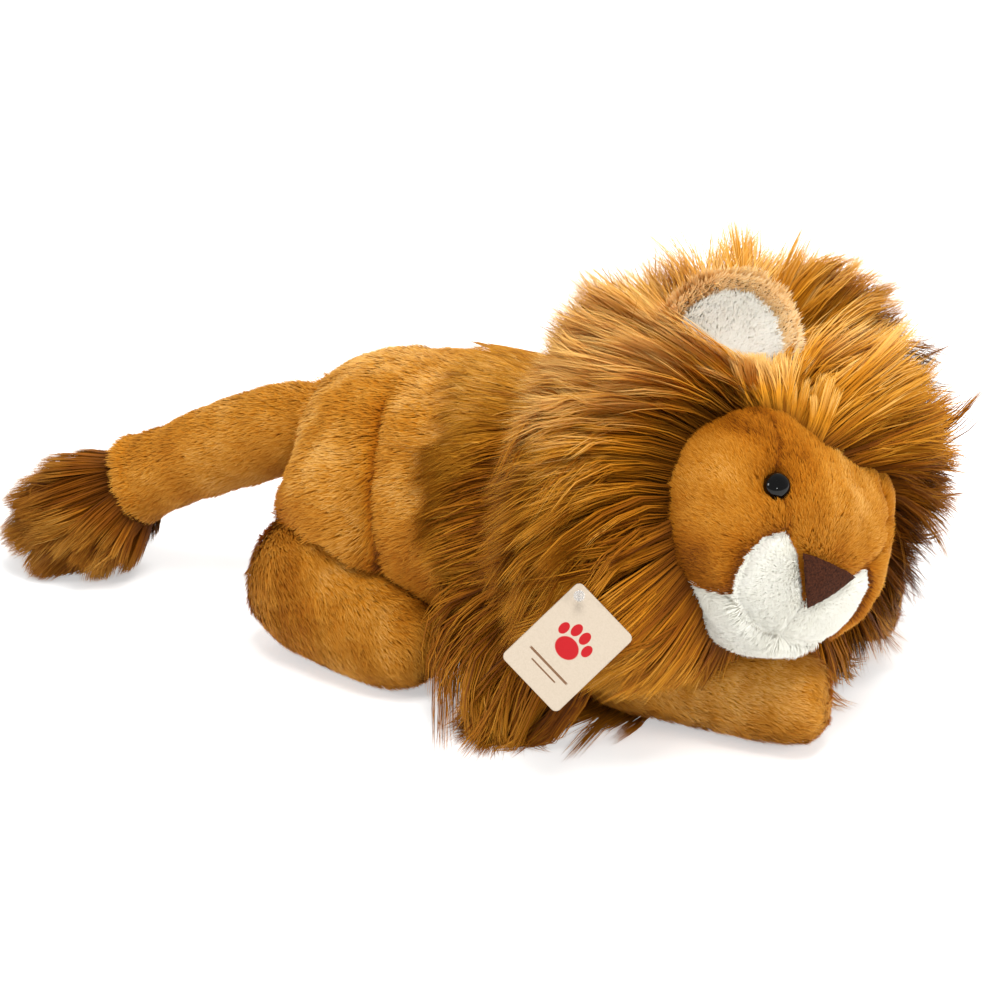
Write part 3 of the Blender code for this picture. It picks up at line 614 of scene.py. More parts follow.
def soft_skin(
    name: str,
    nodes: Sequence[str],
    material: bpy.types.Material,
    voxel: float = 0.0035,
    draw_in: float = 0.0,
    ease: int = 6,
) -> bpy.types.Object:
    """A sewn and stuffed skin in the place of soft nodes: their joined form, eased and drawn in by the pile's height.

    Args:
        name: The skin's name.
        nodes: The nodes whose form it takes.
        material: Its material.
        voxel: The size of its faces.
        draw_in: How far it lies inside the nodes' form.
        ease: How many times its edges are eased.

    Returns:
        The skin.
    """
    thing = copied_form(name, nodes, material)
    remesh = thing.modifiers.new("knit", "REMESH")
    remesh.mode = "VOXEL"
    remesh.voxel_size = voxel
    remesh.use_smooth_shade = True
    easing = thing.modifiers.new("ease", "SMOOTH")
    easing.iterations = ease
    easing.factor = 0.5
    if draw_in:
        inward = thing.modifiers.new("draw_in", "DISPLACE")
        inward.strength = -draw_in
        inward.mid_level = 0.0
        settle = thing.modifiers.new("settle", "SMOOTH")
        settle.iterations = 3
        settle.factor = 0.5
    places = vertex_places(applied(thing))[0]
    places[:, 2] = np.maximum(places[:, 2], FLOOR_GAP)
    move_points(thing, places)
    return thing


def vertex_places(thing: bpy.types.Object) -> tuple[Array, Array]:
    """The places and normals of an object's points.

    Args:
        thing: The object.

    Returns:
        Both, with a row for each point.
    """
    mesh = thing.data
    places = np.empty(len(mesh.vertices) * 3)
    mesh.vertices.foreach_get("co", places)
    normals = np.empty(len(mesh.vertices) * 3)
    mesh.vertices.foreach_get("normal", normals)
    return places.reshape(-1, 3), normals.reshape(-1, 3)


def move_points(thing: bpy.types.Object, places: Array) -> None:
    """Gives an object's points new places."""
    thing.data.vertices.foreach_set("co", places.astype(np.float32).ravel())
    thing.data.update()


def scattered(
    skin: bpy.types.Object, per_mm2: float, seed: int, keep: Optional[Chance] = None
) -> tuple[Array, Array]:
    """Points spread at random over a skin.

    Args:
        skin: The skin.
        per_mm2: How many stand on a square millimetre.
        seed: The random seed.
        keep: Gives each point's chance to stay, from its place and normal.

    Returns:
        The points' places and the skin's normals there.
    """
    rng = np.random.default_rng(seed)
    places, normals = vertex_places(skin)
    mesh = skin.data
    mesh.calc_loop_triangles()
    corners = np.empty(len(mesh.loop_triangles) * 3, np.int32)
    mesh.loop_triangles.foreach_get("vertices", corners)
    corners = corners.reshape(-1, 3)
    a, b, c = (places[corners[:, i]] for i in range(3))
    areas = np.linalg.norm(np.cross(b - a, c - a), axis=1) / 2
    count = int(areas.sum() * SQUARE_MM * per_mm2)
    picked = corners[rng.choice(len(areas), count, p=areas / areas.sum())]
    first, second = np.sqrt(rng.random(count)), rng.random(count)
    weights = np.stack([1 - first, first * (1 - second), first * second], axis=1)[:, :, None]
    points = (places[picked] * weights).sum(1)
    facing = unit((normals[picked] * weights).sum(1))
    if keep is not None:
        stays = rng.random(count) < keep(points, facing)
        points, facing = points[stays], facing[stays]
    return points, facing


def fibre_mesh(
    name: str,
    points: Array,
    faces: Sequence[Sequence[int]],
    heights: Sequence[float],
    lots: Array,
    shading: Array,
    material: bpy.types.Material,
) -> bpy.types.Object:
    """Many fibres of one make as one mesh, with the map that their finish reads.

    Args:
        name: The object's name.
        points: Each fibre's points.
        faces: One fibre's faces, by the points' numbers.
        heights: How far along the fibre each point is, from 0 to 1.
        lots: Each fibre's dye lot, from 0 to 1.
        shading: The normal at each point.
        material: The fibres' material.

    Returns:
        The object.
    """
    count, per, _ = points.shape
    flat = [corner for face in faces for corner in face]
    loops = ((np.arange(count) * per)[:, None] + np.array(flat)[None, :]).reshape(-1)
    sizes = np.tile([len(face) for face in faces], count)
    mesh = bpy.data.meshes.new(name)
    mesh.vertices.add(count * per)
    mesh.vertices.foreach_set("co", points.astype(np.float32).ravel())
    mesh.loops.add(len(loops))
    mesh.loops.foreach_set("vertex_index", loops.astype(np.int32))
    mesh.polygons.add(len(sizes))
    mesh.polygons.foreach_set("loop_start", np.concatenate([[0], np.cumsum(sizes)[:-1]]).astype(np.int32))
    mesh.update(calc_edges=True)
    mesh.shade_smooth()
    left = LOTS_FROM + LOTS_SPAN * np.clip(lots, 0, 1)
    across = left[:, None] + LOT_WIDE * (np.arange(per) % 2)[None, :]
    chart = np.stack([across, np.tile(np.array(heights), (count, 1))], axis=2).reshape(-1, 2)[loops]
    mesh.uv_layers.new(name="OFBake").uv.foreach_set("vector", chart.astype(np.float32).ravel())
    mesh.normals_split_custom_set_from_vertices(shading.reshape(-1, 3).astype(np.float32))
    return new_object(name, mesh, material)


def fibre_axes(spines: Array, outward: Array, roll: float, seed: int) -> tuple[Array, Array]:
    """Each fibre's way across and way out at each of its points.

    Args:
        spines: Each fibre's points from root to tip.
        outward: The way out of the coat there.
        roll: How far a fibre may turn about its own line, in radians.
        seed: The random seed.

    Returns:
        The unit vectors across the fibres and out of them.
    """
    along = unit(np.gradient(spines, axis=1))
    across = unit(np.cross(along, outward))
    over = unit(np.cross(across, along))
    angle = np.random.default_rng(seed).normal(0, roll / 2, (len(spines), 1, 1)).clip(-roll, roll)
    return across * np.cos(angle) + over * np.sin(angle), over


def ribbons(
    name: str,
    spines: Array,
    widths: Array,
    outward: Array,
    lots: Array,
    material: bpy.types.Material,
    seed: int,
    roll: float = 0.6,
) -> bpy.types.Object:
    """Long fibres as one mesh of narrow ribbons that end in a point.

    Args:
        name: The object's name.
        spines: Each fibre's points from root to tip.
        widths: Each fibre's width.
        outward: For each of its points, the way out of the coat.
        lots: Each fibre's dye lot, from 0 to 1.
        material: The fibres' material.
        seed: The random seed.
        roll: How far a fibre may turn about its own line, in radians.

    Returns:
        The object.
    """
    count, steps, _ = spines.shape
    across, over = fibre_axes(spines, outward, roll, seed)
    taper = np.interp(np.linspace(0, 1, steps), RIBBON_PLACES, RIBBON_SHARES)
    half = (widths[:, None] * taper[None, :] / 2)[:, :, None]
    pairs = np.stack([spines - across * half, spines + across * half], axis=2)[:, :-1].reshape(count, -1, 3)
    shading = unit(over * 0.5 + outward * 0.6)
    faces = [[j, j + 1, j + 3, j + 2] for j in range(0, 2 * steps - 4, 2)]
    faces.append([2 * steps - 4, 2 * steps - 3, 2 * steps - 2])
    heights = np.linspace(MAP_ROOT, MAP_TIP, steps)
    return fibre_mesh(
        name,
        np.concatenate([pairs, spines[:, -1:]], axis=1),
        faces,
        [*np.repeat(heights[:-1], 2), heights[-1]],
        lots,
        np.concatenate([np.repeat(shading[:, :-1], 2, axis=1), shading[:, -1:]], axis=1),
        material,
    )


def short_fibres(
    name: str, spines: Array, widths: Array, outward: Array, lots: Array, material: bpy.types.Material, seed: int
) -> bpy.types.Object:
    """Short fibres as one mesh: each is widest at its bend and pointed at both ends.

    Args:
        name: The object's name.
        spines: Each fibre's root, bend and tip.
        widths: Each fibre's width.
        outward: For each fibre, the way out of the coat.
        lots: Each fibre's dye lot, from 0 to 1.
        material: The fibres' material.
        seed: The random seed.

    Returns:
        The object.
    """
    out = np.repeat(outward[:, None, :], 3, axis=1)
    across, over = fibre_axes(spines, out, 0.5, seed)
    reach = across[:, 1] * widths[:, None] / 2
    points = np.stack([spines[:, 0], spines[:, 1] - reach, spines[:, 1] + reach, spines[:, 2]], axis=1)
    shading = unit(over[:, [0, 1, 1, 2]] * 0.22 + out[:, [0, 1, 1, 2]] * 0.8)
    heights = (MAP_ROOT, 0.5, 0.5, MAP_TIP)
    return fibre_mesh(name, points, [[0, 2, 1], [1, 2, 3]], heights, lots, shading, material)


@dataclass(frozen=True)
class Pile:
    """A short pile: its fibres' length, how high the tips stand, its width and how close and unruly it is."""

    length: float = 0.0088
    height: float = 0.0040
    width: float = 0.00075
    per_mm2: float = 2.4
    stray: float = 0.15
    sway: float = 0.30
    mottle: float = 0.07  # how far single fibres differ in dye lot
    patches: float = 0.17  # how far broad patches differ
    patch: float = 0.055  # and their size
    fine_patches: float = 0.09  # how far small ones differ
    fine_patch: float = 0.014
    sway_patch: float = 0.022
    swell: float = 0.12  # how far patches differ in length
    swell_patch: float = 0.016
    depth: float = 0.0006  # how far under the skin the roots stand
    bend: tuple[float, float] = (0.66, 0.42)  # how high and how far along a fibre bends

    def grow(
        self,
        name: str,
        skin: bpy.types.Object,
        comb: Field,
        material: bpy.types.Material,
        seed: int,
        keep: Optional[Chance] = None,
        shade: Optional[Field] = None,
    ) -> bpy.types.Object:
        """Grows the pile on a skin.

        Args:
            name: The piece's name.
            skin: The skin that it stands on.
            comb: The way it is combed at each point.
            material: Its material.
            seed: The random seed.
            keep: Gives each fibre's chance to stay, from its place and the skin's normal.
            shade: Adds to the dye lot at each point.

        Returns:
            The pile's object.
        """
        rng = np.random.default_rng(seed)
        roots, facing = scattered(skin, self.per_mm2, seed, keep)
        count = len(roots)
        lean = unit(comb(roots)) + self.sway * ripples(roots, self.sway_patch, seed) * 0.5
        lean = lean + rng.normal(0, self.stray, (count, 3))
        lean = unit(lean - facing * dot(lean, facing))
        swell = 1 + self.swell * ripple(roots, self.swell_patch, seed + 7)[:, None]
        reach = self.length * rng.uniform(0.72, 1.08, (count, 1)) * swell
        height = self.height * rng.uniform(0.7, 1.12, (count, 1)) * swell
        flat = np.sqrt(np.maximum(reach**2 - height**2, (0.25 * reach) ** 2))
        roots = roots - facing * self.depth
        middle = roots + facing * height * self.bend[0] + lean * flat * self.bend[1]
        tips = roots + facing * height + lean * flat
        lots = 0.5 + self.patches * ripple(roots, self.patch, seed + 11)
        lots = lots + self.fine_patches * ripple(roots, self.fine_patch, seed + 12)
        lots = lots + rng.normal(0, self.mottle, count) + (shade(roots) if shade else 0)
        widths = self.width * rng.uniform(0.8, 1.2, count)
        spines = np.stack([roots, middle, tips], axis=1)
        spines[:, :, 2] = np.maximum(spines[:, :, 2], FLOOR_GAP)
        return short_fibres(name, spines, widths, facing, lots, material, seed)


# The body's coat


def constant(way: Place) -> Field:
    """A comb that runs one way everywhere."""
    return lambda points: np.tile(np.array(way, float), (len(points), 1))


def even(shade: float) -> Field:
    """A dye lot that is shifted alike everywhere."""
    return lambda points: np.full(len(points), shade)


def blunt_end(along: Array, start: float, reach: float, power: float = 2.8) -> Array:
    """How much wider a rounded end is stuffed at each place, so that it ends blunt.

    Args:
        along: The places along the tube.
        start: Where its end begins to round off.
        reach: How far it runs on from there.
        power: How blunt it gets.

    Returns:
        The factor for each place.
    """
    share = np.clip((along - start) / reach, 0, 0.97)
    return ((1 - share**power) ** (1 / power) / np.sqrt(1 - share**2)).clip(1, 1.7)


def pushed_out(line: Array, skin: bpy.types.Object, gap: float) -> Array:
    """Fibres' points moved out of a skin that they would run through.

    Args:
        line: The fibres' points.
        skin: The skin.
        gap: How far above it the tips lie at least.

    Returns:
        The points.
    """
    tree = BVHTree.FromPolygons(
        [vertex.co for vertex in skin.data.vertices], [tuple(polygon.vertices) for polygon in skin.data.polygons]
    )
    moved = line.copy()
    clear = gap * np.linspace(0.2, 1.0, line.shape[1])
    low, high = vertex_places(skin)[0].min(0) - gap, vertex_places(skin)[0].max(0) + gap
    near = ((line > low) & (line < high)).all(2)
    near[:, 0] = False
    for row, step in zip(*np.nonzero(near)):
        place, normal, _, _ = tree.find_nearest(Vector(line[row, step]))
        height = (Vector(line[row, step]) - place).dot(normal)
        if height < clear[step]:
            moved[row, step] = place + normal * clear[step]
    return moved


@dataclass
class Torso:
    """The torso and both haunches: one stuffed skin and its golden pile, which the mane covers in front."""

    finishes: Finishes
    pile: Pile = field(default_factory=lambda: Pile(length=0.0094, height=0.0036, width=0.0009, per_mm2=1.5))
    draw_in: float = 0.0034
    bare_from: float = -0.028  # forward of this the mane hides it
    combed: Place = (-0.85, 0.0, -0.42)
    seam: tuple[Place, ...] = (  # before the right haunch, and its like on the left
        (-0.110, -0.030, 0.134),
        (-0.108, -0.045, 0.125),
        (-0.106, -0.060, 0.106),
        (-0.103, -0.070, 0.085),
        (-0.101, -0.074, 0.060),
    )
    seam_depth: float = 0.0035
    seam_width: float = 0.0050

    def seam_distance(self, points: Array) -> Array:
        """How far each point is from the haunches' seams."""
        flat = line_distance(points[:, [0, 2]], np.array(self.seam)[:, [0, 2]])
        return np.where(np.abs(points[:, 1]) > 0.018, flat, 1.0)

    def kept(self, points: Array, facing: Array) -> Array:
        """Each fibre's chance to stay."""
        seen = 1 - smooth_step(points[:, 0], self.bare_from - 0.02, self.bare_from + 0.03)
        sewn = 0.4 + 0.6 * smooth_step(self.seam_distance(points), 0.0002, 0.002)
        return seen * sewn * np.where((facing[:, 2] < -0.7) & (points[:, 2] < 0.012), 0.15, 1.0)

    def shade(self, points: Array) -> Array:
        """Painted light and shade in the dye lot: paler on top as painted light from above, a little deeper low on the
        flanks as painted shade, and painted shade in the seams.
        """
        top = smooth_step(points[:, 2], 0.05, 0.14)
        # painted light on top, painted shade low on the flanks and in the seam creases
        return 0.42 * top - 0.20 - 0.40 * np.exp(-((self.seam_distance(points) / 0.0026) ** 2))

    def build(self) -> bpy.types.Object:
        """Builds the skin and its pile.

        Returns:
            The skin.
        """
        nodes = ("torso_cover", "torso_filling", "haunch_right", "haunch_left")
        skin = soft_skin("torso_skin", nodes, self.finishes.golden_backing, draw_in=self.draw_in, ease=22)
        places, normals = vertex_places(skin)
        sunk = self.seam_depth * np.exp(-((self.seam_distance(places) / self.seam_width) ** 2))
        move_points(skin, places - normals * sunk[:, None])
        pile = self.pile.grow(
            "torso_pile", skin, constant(self.combed), self.finishes.golden, 11, self.kept, self.shade
        )
        dress(skin, "torso", nodes)
        dress(pile, "torso")
        return skin


@dataclass
class Leg:
    """One leg lying on the floor: a stuffed skin, combed towards its toe."""

    finishes: Finishes
    name: str
    side: Side
    comb: Place
    seed: int
    pile: Pile = field(default_factory=lambda: Pile(height=0.0036))
    draw_in: float = 0.0034
    paw_from: float = 0.096  # where a foreleg's blunt end begins
    paw_reach: float = 0.030
    paw_height: float = 0.16  # how much higher the end is stuffed
    heel_swell: float = 0.0026  # how far a hind leg swells against the haunch
    seat: Place = (0.0, -0.054, 0.027)
    pale: float = 0.0  # added to its dye lot; on the forelegs this is painted light against the shadow under the head

    def stuffed(self, places: Array) -> Array:
        """A foreleg's points with its end stuffed out: blunt, and higher towards the toe.

        Args:
            places: The skin's points.

        Returns:
            Their new places.
        """
        blunt = blunt_end(places[:, 0], self.paw_from, self.paw_reach, 2.5)[:, None]
        axis = np.array(self.seat) * np.array([0, -self.side.value, 1])
        spread = (places - axis) * np.concatenate([np.ones_like(blunt), blunt, blunt], axis=1) + axis
        spread[:, 2] *= 1 + self.paw_height * smooth_step(places[:, 0], 0.02, 0.09)
        spread[:, 2] = np.maximum(spread[:, 2], self.draw_in + 0.001)
        return spread

    @staticmethod
    def kept(points: Array, facing: Array) -> Array:
        """Each fibre's chance to stay: few stand where the leg is pressed on the floor."""
        return np.where((facing[:, 2] < -0.8) & (points[:, 2] < 0.008), 0.1, 1.0)

    def build(self) -> None:
        """Builds the skin and its pile."""
        stem = f"{self.name}_{self.side.label}"
        nodes = (stem + "_cover", stem + "_filling")
        way = (self.comb[0], self.comb[1] * self.side.value, self.comb[2])
        skin = soft_skin(stem + "_skin", nodes, self.finishes.golden_backing, draw_in=self.draw_in)
        places, normals = vertex_places(skin)
        move_points(skin, self.stuffed(places) if self.name == "foreleg" else places + normals * self.heel_swell)
        pile = self.pile.grow(
            stem + "_pile", skin, constant(way), self.finishes.golden, self.seed, self.kept, even(self.pale)
        )
        dress(skin, stem, nodes)
        dress(pile, stem)


@dataclass(frozen=True)
class Hull:
    """The outer form that long pile is trimmed to: a rounded body in a frame of its own, x along its axis."""

    matrix: Matrix
    middle: Place
    half: Place
    power: float = 2.6
    reach: tuple[float, ...] = (1.0,)  # round the axis, from y over z
    far: float = 1.0  # nothing passes this y of the lion's
    top: float = 1.0  # or this z
    ahead: float = 1.0  # or this x

    def level(self, points: Array) -> Array:
        """How far out each point is: 1 on the form and less within it.

        Args:
            points: The places to read.

        Returns:
            One level for each.
        """
        shares = (carried(points, self.matrix.inverted()) - np.array(self.middle)) / np.array(self.half)
        bearing = np.degrees(np.arctan2(shares[..., 2], shares[..., 1])) % 360
        marks = np.linspace(0, 360, len(self.reach) + 1)
        grows = np.interp(bearing, marks, [*self.reach, self.reach[0]])[..., None]
        shares = np.concatenate([shares[..., :1], shares[..., 1:] / grows], axis=-1)
        own = (np.abs(shares) ** self.power).sum(-1) ** (1 / self.power)
        walls = [points[..., 0] / self.ahead, points[..., 1] / self.far, points[..., 2] / self.top]
        return np.maximum.reduce([own, *walls])

    def normal(self, points: Array) -> Array:
        """The way out of the form at each point."""
        step = 1e-4
        rise = [self.level(points + step * axis) - self.level(points - step * axis) for axis in np.eye(3)]
        return unit(np.stack(rise, axis=-1))


@dataclass(frozen=True)
class LongPile:
    """Long mane pile that lies in locks and is trimmed to a hull."""

    length: float
    width: float = 0.0007
    steps: int = 5
    lock_gap: float = 0.0085  # between the middles of neighbouring locks
    clump: float = 0.72
    stray: float = 0.09
    lock_stray: float = 0.20
    length_spread: float = 0.16
    rise: float = 0.5  # how steeply a fibre leaves its root
    hug: float = 0.7  # how closely it then follows the hull
    trim: float = 0.98
    ragged: float = 0.045  # how far the locks differ in where they are trimmed
    shortest: float = 0.3  # a fibre that is trimmed to a smaller share of itself is left out
    least: int = 12  # fibres in a lock, on the whole
    folds: float = 2.2  # a hull's surface as a share of three sides of its box
    lock_lots: float = 0.26  # how far the locks differ in dye lot
    patches: float = 0.12  # how far broad patches differ
    patch: float = 0.05  # and their size
    mottle: float = 0.11  # how far single fibres differ

    def spines(
        self, roots: Array, hull: Hull, flow: Field, seed: int, lengths: Optional[Field] = None
    ) -> tuple[Array, Array]:
        """The fibres' lines, gathered in locks.

        Args:
            roots: Where they stand.
            hull: The form that they are trimmed to.
            flow: Which way the mane runs at each place.
            seed: The random seed.
            lengths: A share of the length for each root.

        Returns:
            The points of the fibres that are long enough to keep, from root to tip, and each one's lock as a
            number from 0 to 1.
        """
        rng = np.random.default_rng(seed)
        count = len(roots)
        span = roots.max(0) - roots.min(0)
        faces = span[0] * span[1] + span[1] * span[2] + span[0] * span[2]
        locks = int(min(count / self.least, self.folds * faces / self.lock_gap**2))
        middles = rng.choice(count, max(locks, 6), replace=False)
        batches = (roots[low : low + BATCH, None, :] for low in range(0, count, BATCH))
        own = np.concatenate([((batch - roots[None, middles, :]) ** 2).sum(2).argmin(1) for batch in batches])
        bend = rng.normal(0, self.lock_stray, (len(middles), 3))[own] + rng.normal(0, self.stray, (count, 3))
        longer = 1 + rng.normal(0, self.length_spread, len(middles)).clip(-0.3, 0.3)
        reach = self.length * longer[own] * rng.uniform(0.8, 1.05, count)
        if lengths is not None:
            reach = reach * lengths(roots)
        line = np.empty((count, self.steps, 3))
        line[:, 0] = roots
        for step in range(1, self.steps):
            at = (step - 0.5) / (self.steps - 1)
            here = line[:, step - 1]
            out = hull.normal(here)
            way = unit(flow(here) + bend * (0.4 + 0.6 * at))
            way = unit(way - out * dot(way, out) * self.hug) + out * self.rise * (1 - at) ** 2
            line[:, step] = here + unit(way) * (reach / (self.steps - 1))[:, None]
        share = np.linspace(0, 1, self.steps)
        lead = line[middles][own]
        line = line + (lead - line) * (self.clump * share**1.1)[None, :, None] * rng.uniform(0.6, 1.0, (count, 1, 1))
        goal = self.trim + rng.normal(0, self.ragged, len(middles)).clip(-0.3, 0.06)[own] + rng.normal(0, 0.02, count)
        line, cut = self.trimmed(line, hull.level(line) - goal[:, None])
        kept = cut > self.shortest
        LOG.info("%d fibres in %d locks, %d too short", count, len(middles), int((~kept).sum()))
        return line[kept], rng.random(len(middles))[own][kept]

    def trimmed(self, line: Array, over: Array) -> tuple[Array, Array]:
        """Cuts the fibres where they first pass a limit.

        Args:
            line: The fibres' points.
            over: How far each point is over the limit.

        Returns:
            The points, spread anew along what is left, and how much of each fibre that is.
        """
        last = self.steps - 1
        over[:, 0] = np.minimum(over[:, 0], -1e-6)
        beyond = over > 0
        first = np.where(beyond.any(1), beyond.argmax(1), last)
        rows = np.arange(len(line))
        low, high = over[rows, first - 1], over[rows, first]
        cut = np.where(beyond.any(1), first - 1 + low / np.minimum(low - high, -1e-9), last) / last
        place = np.linspace(0, 1, self.steps)[None, :] * cut[:, None] * last
        left = np.minimum(place.astype(int), self.steps - 2)
        share = (place - left)[:, :, None]
        return line[rows[:, None], left] * (1 - share) + line[rows[:, None], left + 1] * share, cut

    def lots(self, line: Array, lock: Array, seed: int) -> Array:
        """Each fibre's dye lot, from its lock and its place.

        Args:
            line: The fibres' points.
            lock: Each one's lock.
            seed: The random seed.

        Returns:
            The dye lots.
        """
        rng = np.random.default_rng(seed + 5)
        roots = line[:, 0]
        broad = self.patches * ripple(roots, self.patch, seed + 3)
        return 0.5 + self.lock_lots * (lock - 0.5) + broad + rng.normal(0, self.mottle, len(roots))

    @staticmethod
    def outward(line: Array, hull: Hull) -> Array:
        """The way that each point of the fibres faces: out of the hull and up, as a fibre scatters the sky's light."""
        return unit(hull.normal(line) + np.array([0.0, 0.0, 1.0]))


@dataclass
class Tail:
    """The tail, combed towards its end, and the dark tuft of long pile on it."""

    finishes: Finishes
    root: Place = (-0.138, 0.0, 0.113)
    end: Place = (-0.246, -0.004, 0.058)
    tip: Place = (-0.318, -0.012, 0.014)
    pile: Pile = field(default_factory=lambda: Pile(length=0.0082, height=0.0038, patches=0.07))
    tuft: LongPile = field(
        default_factory=lambda: LongPile(
            length=0.072, lock_gap=0.0110, clump=0.88, lock_stray=0.22, rise=0.25, hug=0.30, trim=0.97, ragged=0.16
        )
    )
    tuft_per_mm2: float = 2.2
    tuft_half: Place = (0.057, 0.035, 0.036)
    tuft_fall: float = 0.35
    stump_draw_in: float = 0.014
    draw_in: float = 0.0034
    pale: float = 0.04  # added to its dye lot
    stretch: float = 1.07
    thicken: float = 1.14

    def stuffed(self, places: Array) -> Array:
        """The tail's points with its stuffing packed towards the end.

        Args:
            places: The skin's points.

        Returns:
            Their new places.
        """
        root, way = np.array(self.root), unit(np.array(self.end) - np.array(self.root))
        along = dot(places - root, way)
        length = np.linalg.norm(np.array(self.end) - np.array(self.root))
        grown = (1 + (self.thicken - 1) * smooth_step(along, 0.0, 0.04)) * blunt_end(along, length - 0.022, 0.026)
        return root + way * along * self.stretch + (places - root - way * along) * grown

    @property
    def axis(self) -> Array:
        """The way the tuft points."""
        return unit(np.array(self.tip) - np.array(self.end))

    def flow(self, points: Array) -> Array:
        """Which way the tuft runs: on from the tail, spreading, and down."""
        apart = points - np.array(self.end)
        out = apart - self.axis * dot(apart, self.axis)
        return unit(self.axis + out / 0.030 + np.array([0.0, 0.0, -self.tuft_fall]))

    def build(self) -> None:
        """Builds the tail's skin and pile, and the tuft."""
        along = tuple(np.array(self.end) - np.array(self.root))
        nodes = ("tail_cover", "tail_filling")
        skin = soft_skin("tail_skin", nodes, self.finishes.golden_backing, draw_in=self.draw_in)
        move_points(skin, self.stuffed(vertex_places(skin)[0]))
        pile = self.pile.grow("tail_pile", skin, constant(along), self.finishes.golden, 41, shade=even(self.pale))
        # the stump's dark backing is painted shade deep in the tuft
        stump = soft_skin(
            "tuft_stump", ("tail_tuft",), self.finishes.painted_shade_backing, voxel=0.003, draw_in=self.stump_draw_in, ease=14
        )
        rooted = scattered(stump, self.tuft_per_mm2, 42)[0]
        turned = Vector(self.axis).to_track_quat("X", "Z").to_matrix().to_4x4()
        middle = (Vector(self.end) + Vector(self.tip)) / 2
        hull = Hull(Matrix.Translation(middle) @ turned, (0.0, 0.0, 0.0), self.tuft_half, power=2.2)
        line, lock = self.tuft.spines(rooted, hull, self.flow, 44)
        line[:, :, 2] = np.maximum(line[:, :, 2], FLOOR_GAP)
        widths = np.full(len(line), self.tuft.width)
        outward, lots = self.tuft.outward(line, hull), self.tuft.lots(line, lock, 44)
        tuft = ribbons("tuft_fibres", line, widths, outward, lots, self.finishes.tuft, 45)
        dress(skin, "tail", nodes)
        dress(pile, "tail")
        dress(stump, "tail", ("tail_tuft",))
        dress(tuft, "tail")


# The head


@dataclass(frozen=True)
class HeadFrame:
    """Where the head lies. Its own x runs to the nose, y to its left and z to its crown."""

    centre: Place = (0.0785, -0.0364, 0.111)
    turn: float = math.radians(-29)
    nod: float = math.radians(-9)
    tilt: float = math.radians(-36)
    width: float = 0.130
    height: float = 0.125

    @property
    def matrix(self) -> Matrix:
        """From the head's own frame to the lion's."""
        turned = Matrix.Rotation(self.turn, 4, "Z") @ Matrix.Rotation(self.nod, 4, "Y")
        return Matrix.Translation(self.centre) @ (turned @ Matrix.Rotation(self.tilt, 4, "X"))

    def local(self, points: Array) -> Array:
        """The lion's places in the head's own frame."""
        return carried(points, self.matrix.inverted())

    def placed(self, points: Array) -> Array:
        """The head's own places in the lion's frame."""
        return carried(points, self.matrix)

    def way(self, ways: Array) -> Array:
        """The head's own directions in the lion's frame."""
        return ways @ np.array(self.matrix)[:3, :3].T

    def local_way(self, ways: Array) -> Array:
        """The lion's directions in the head's own frame."""
        return ways @ np.array(self.matrix)[:3, :3]


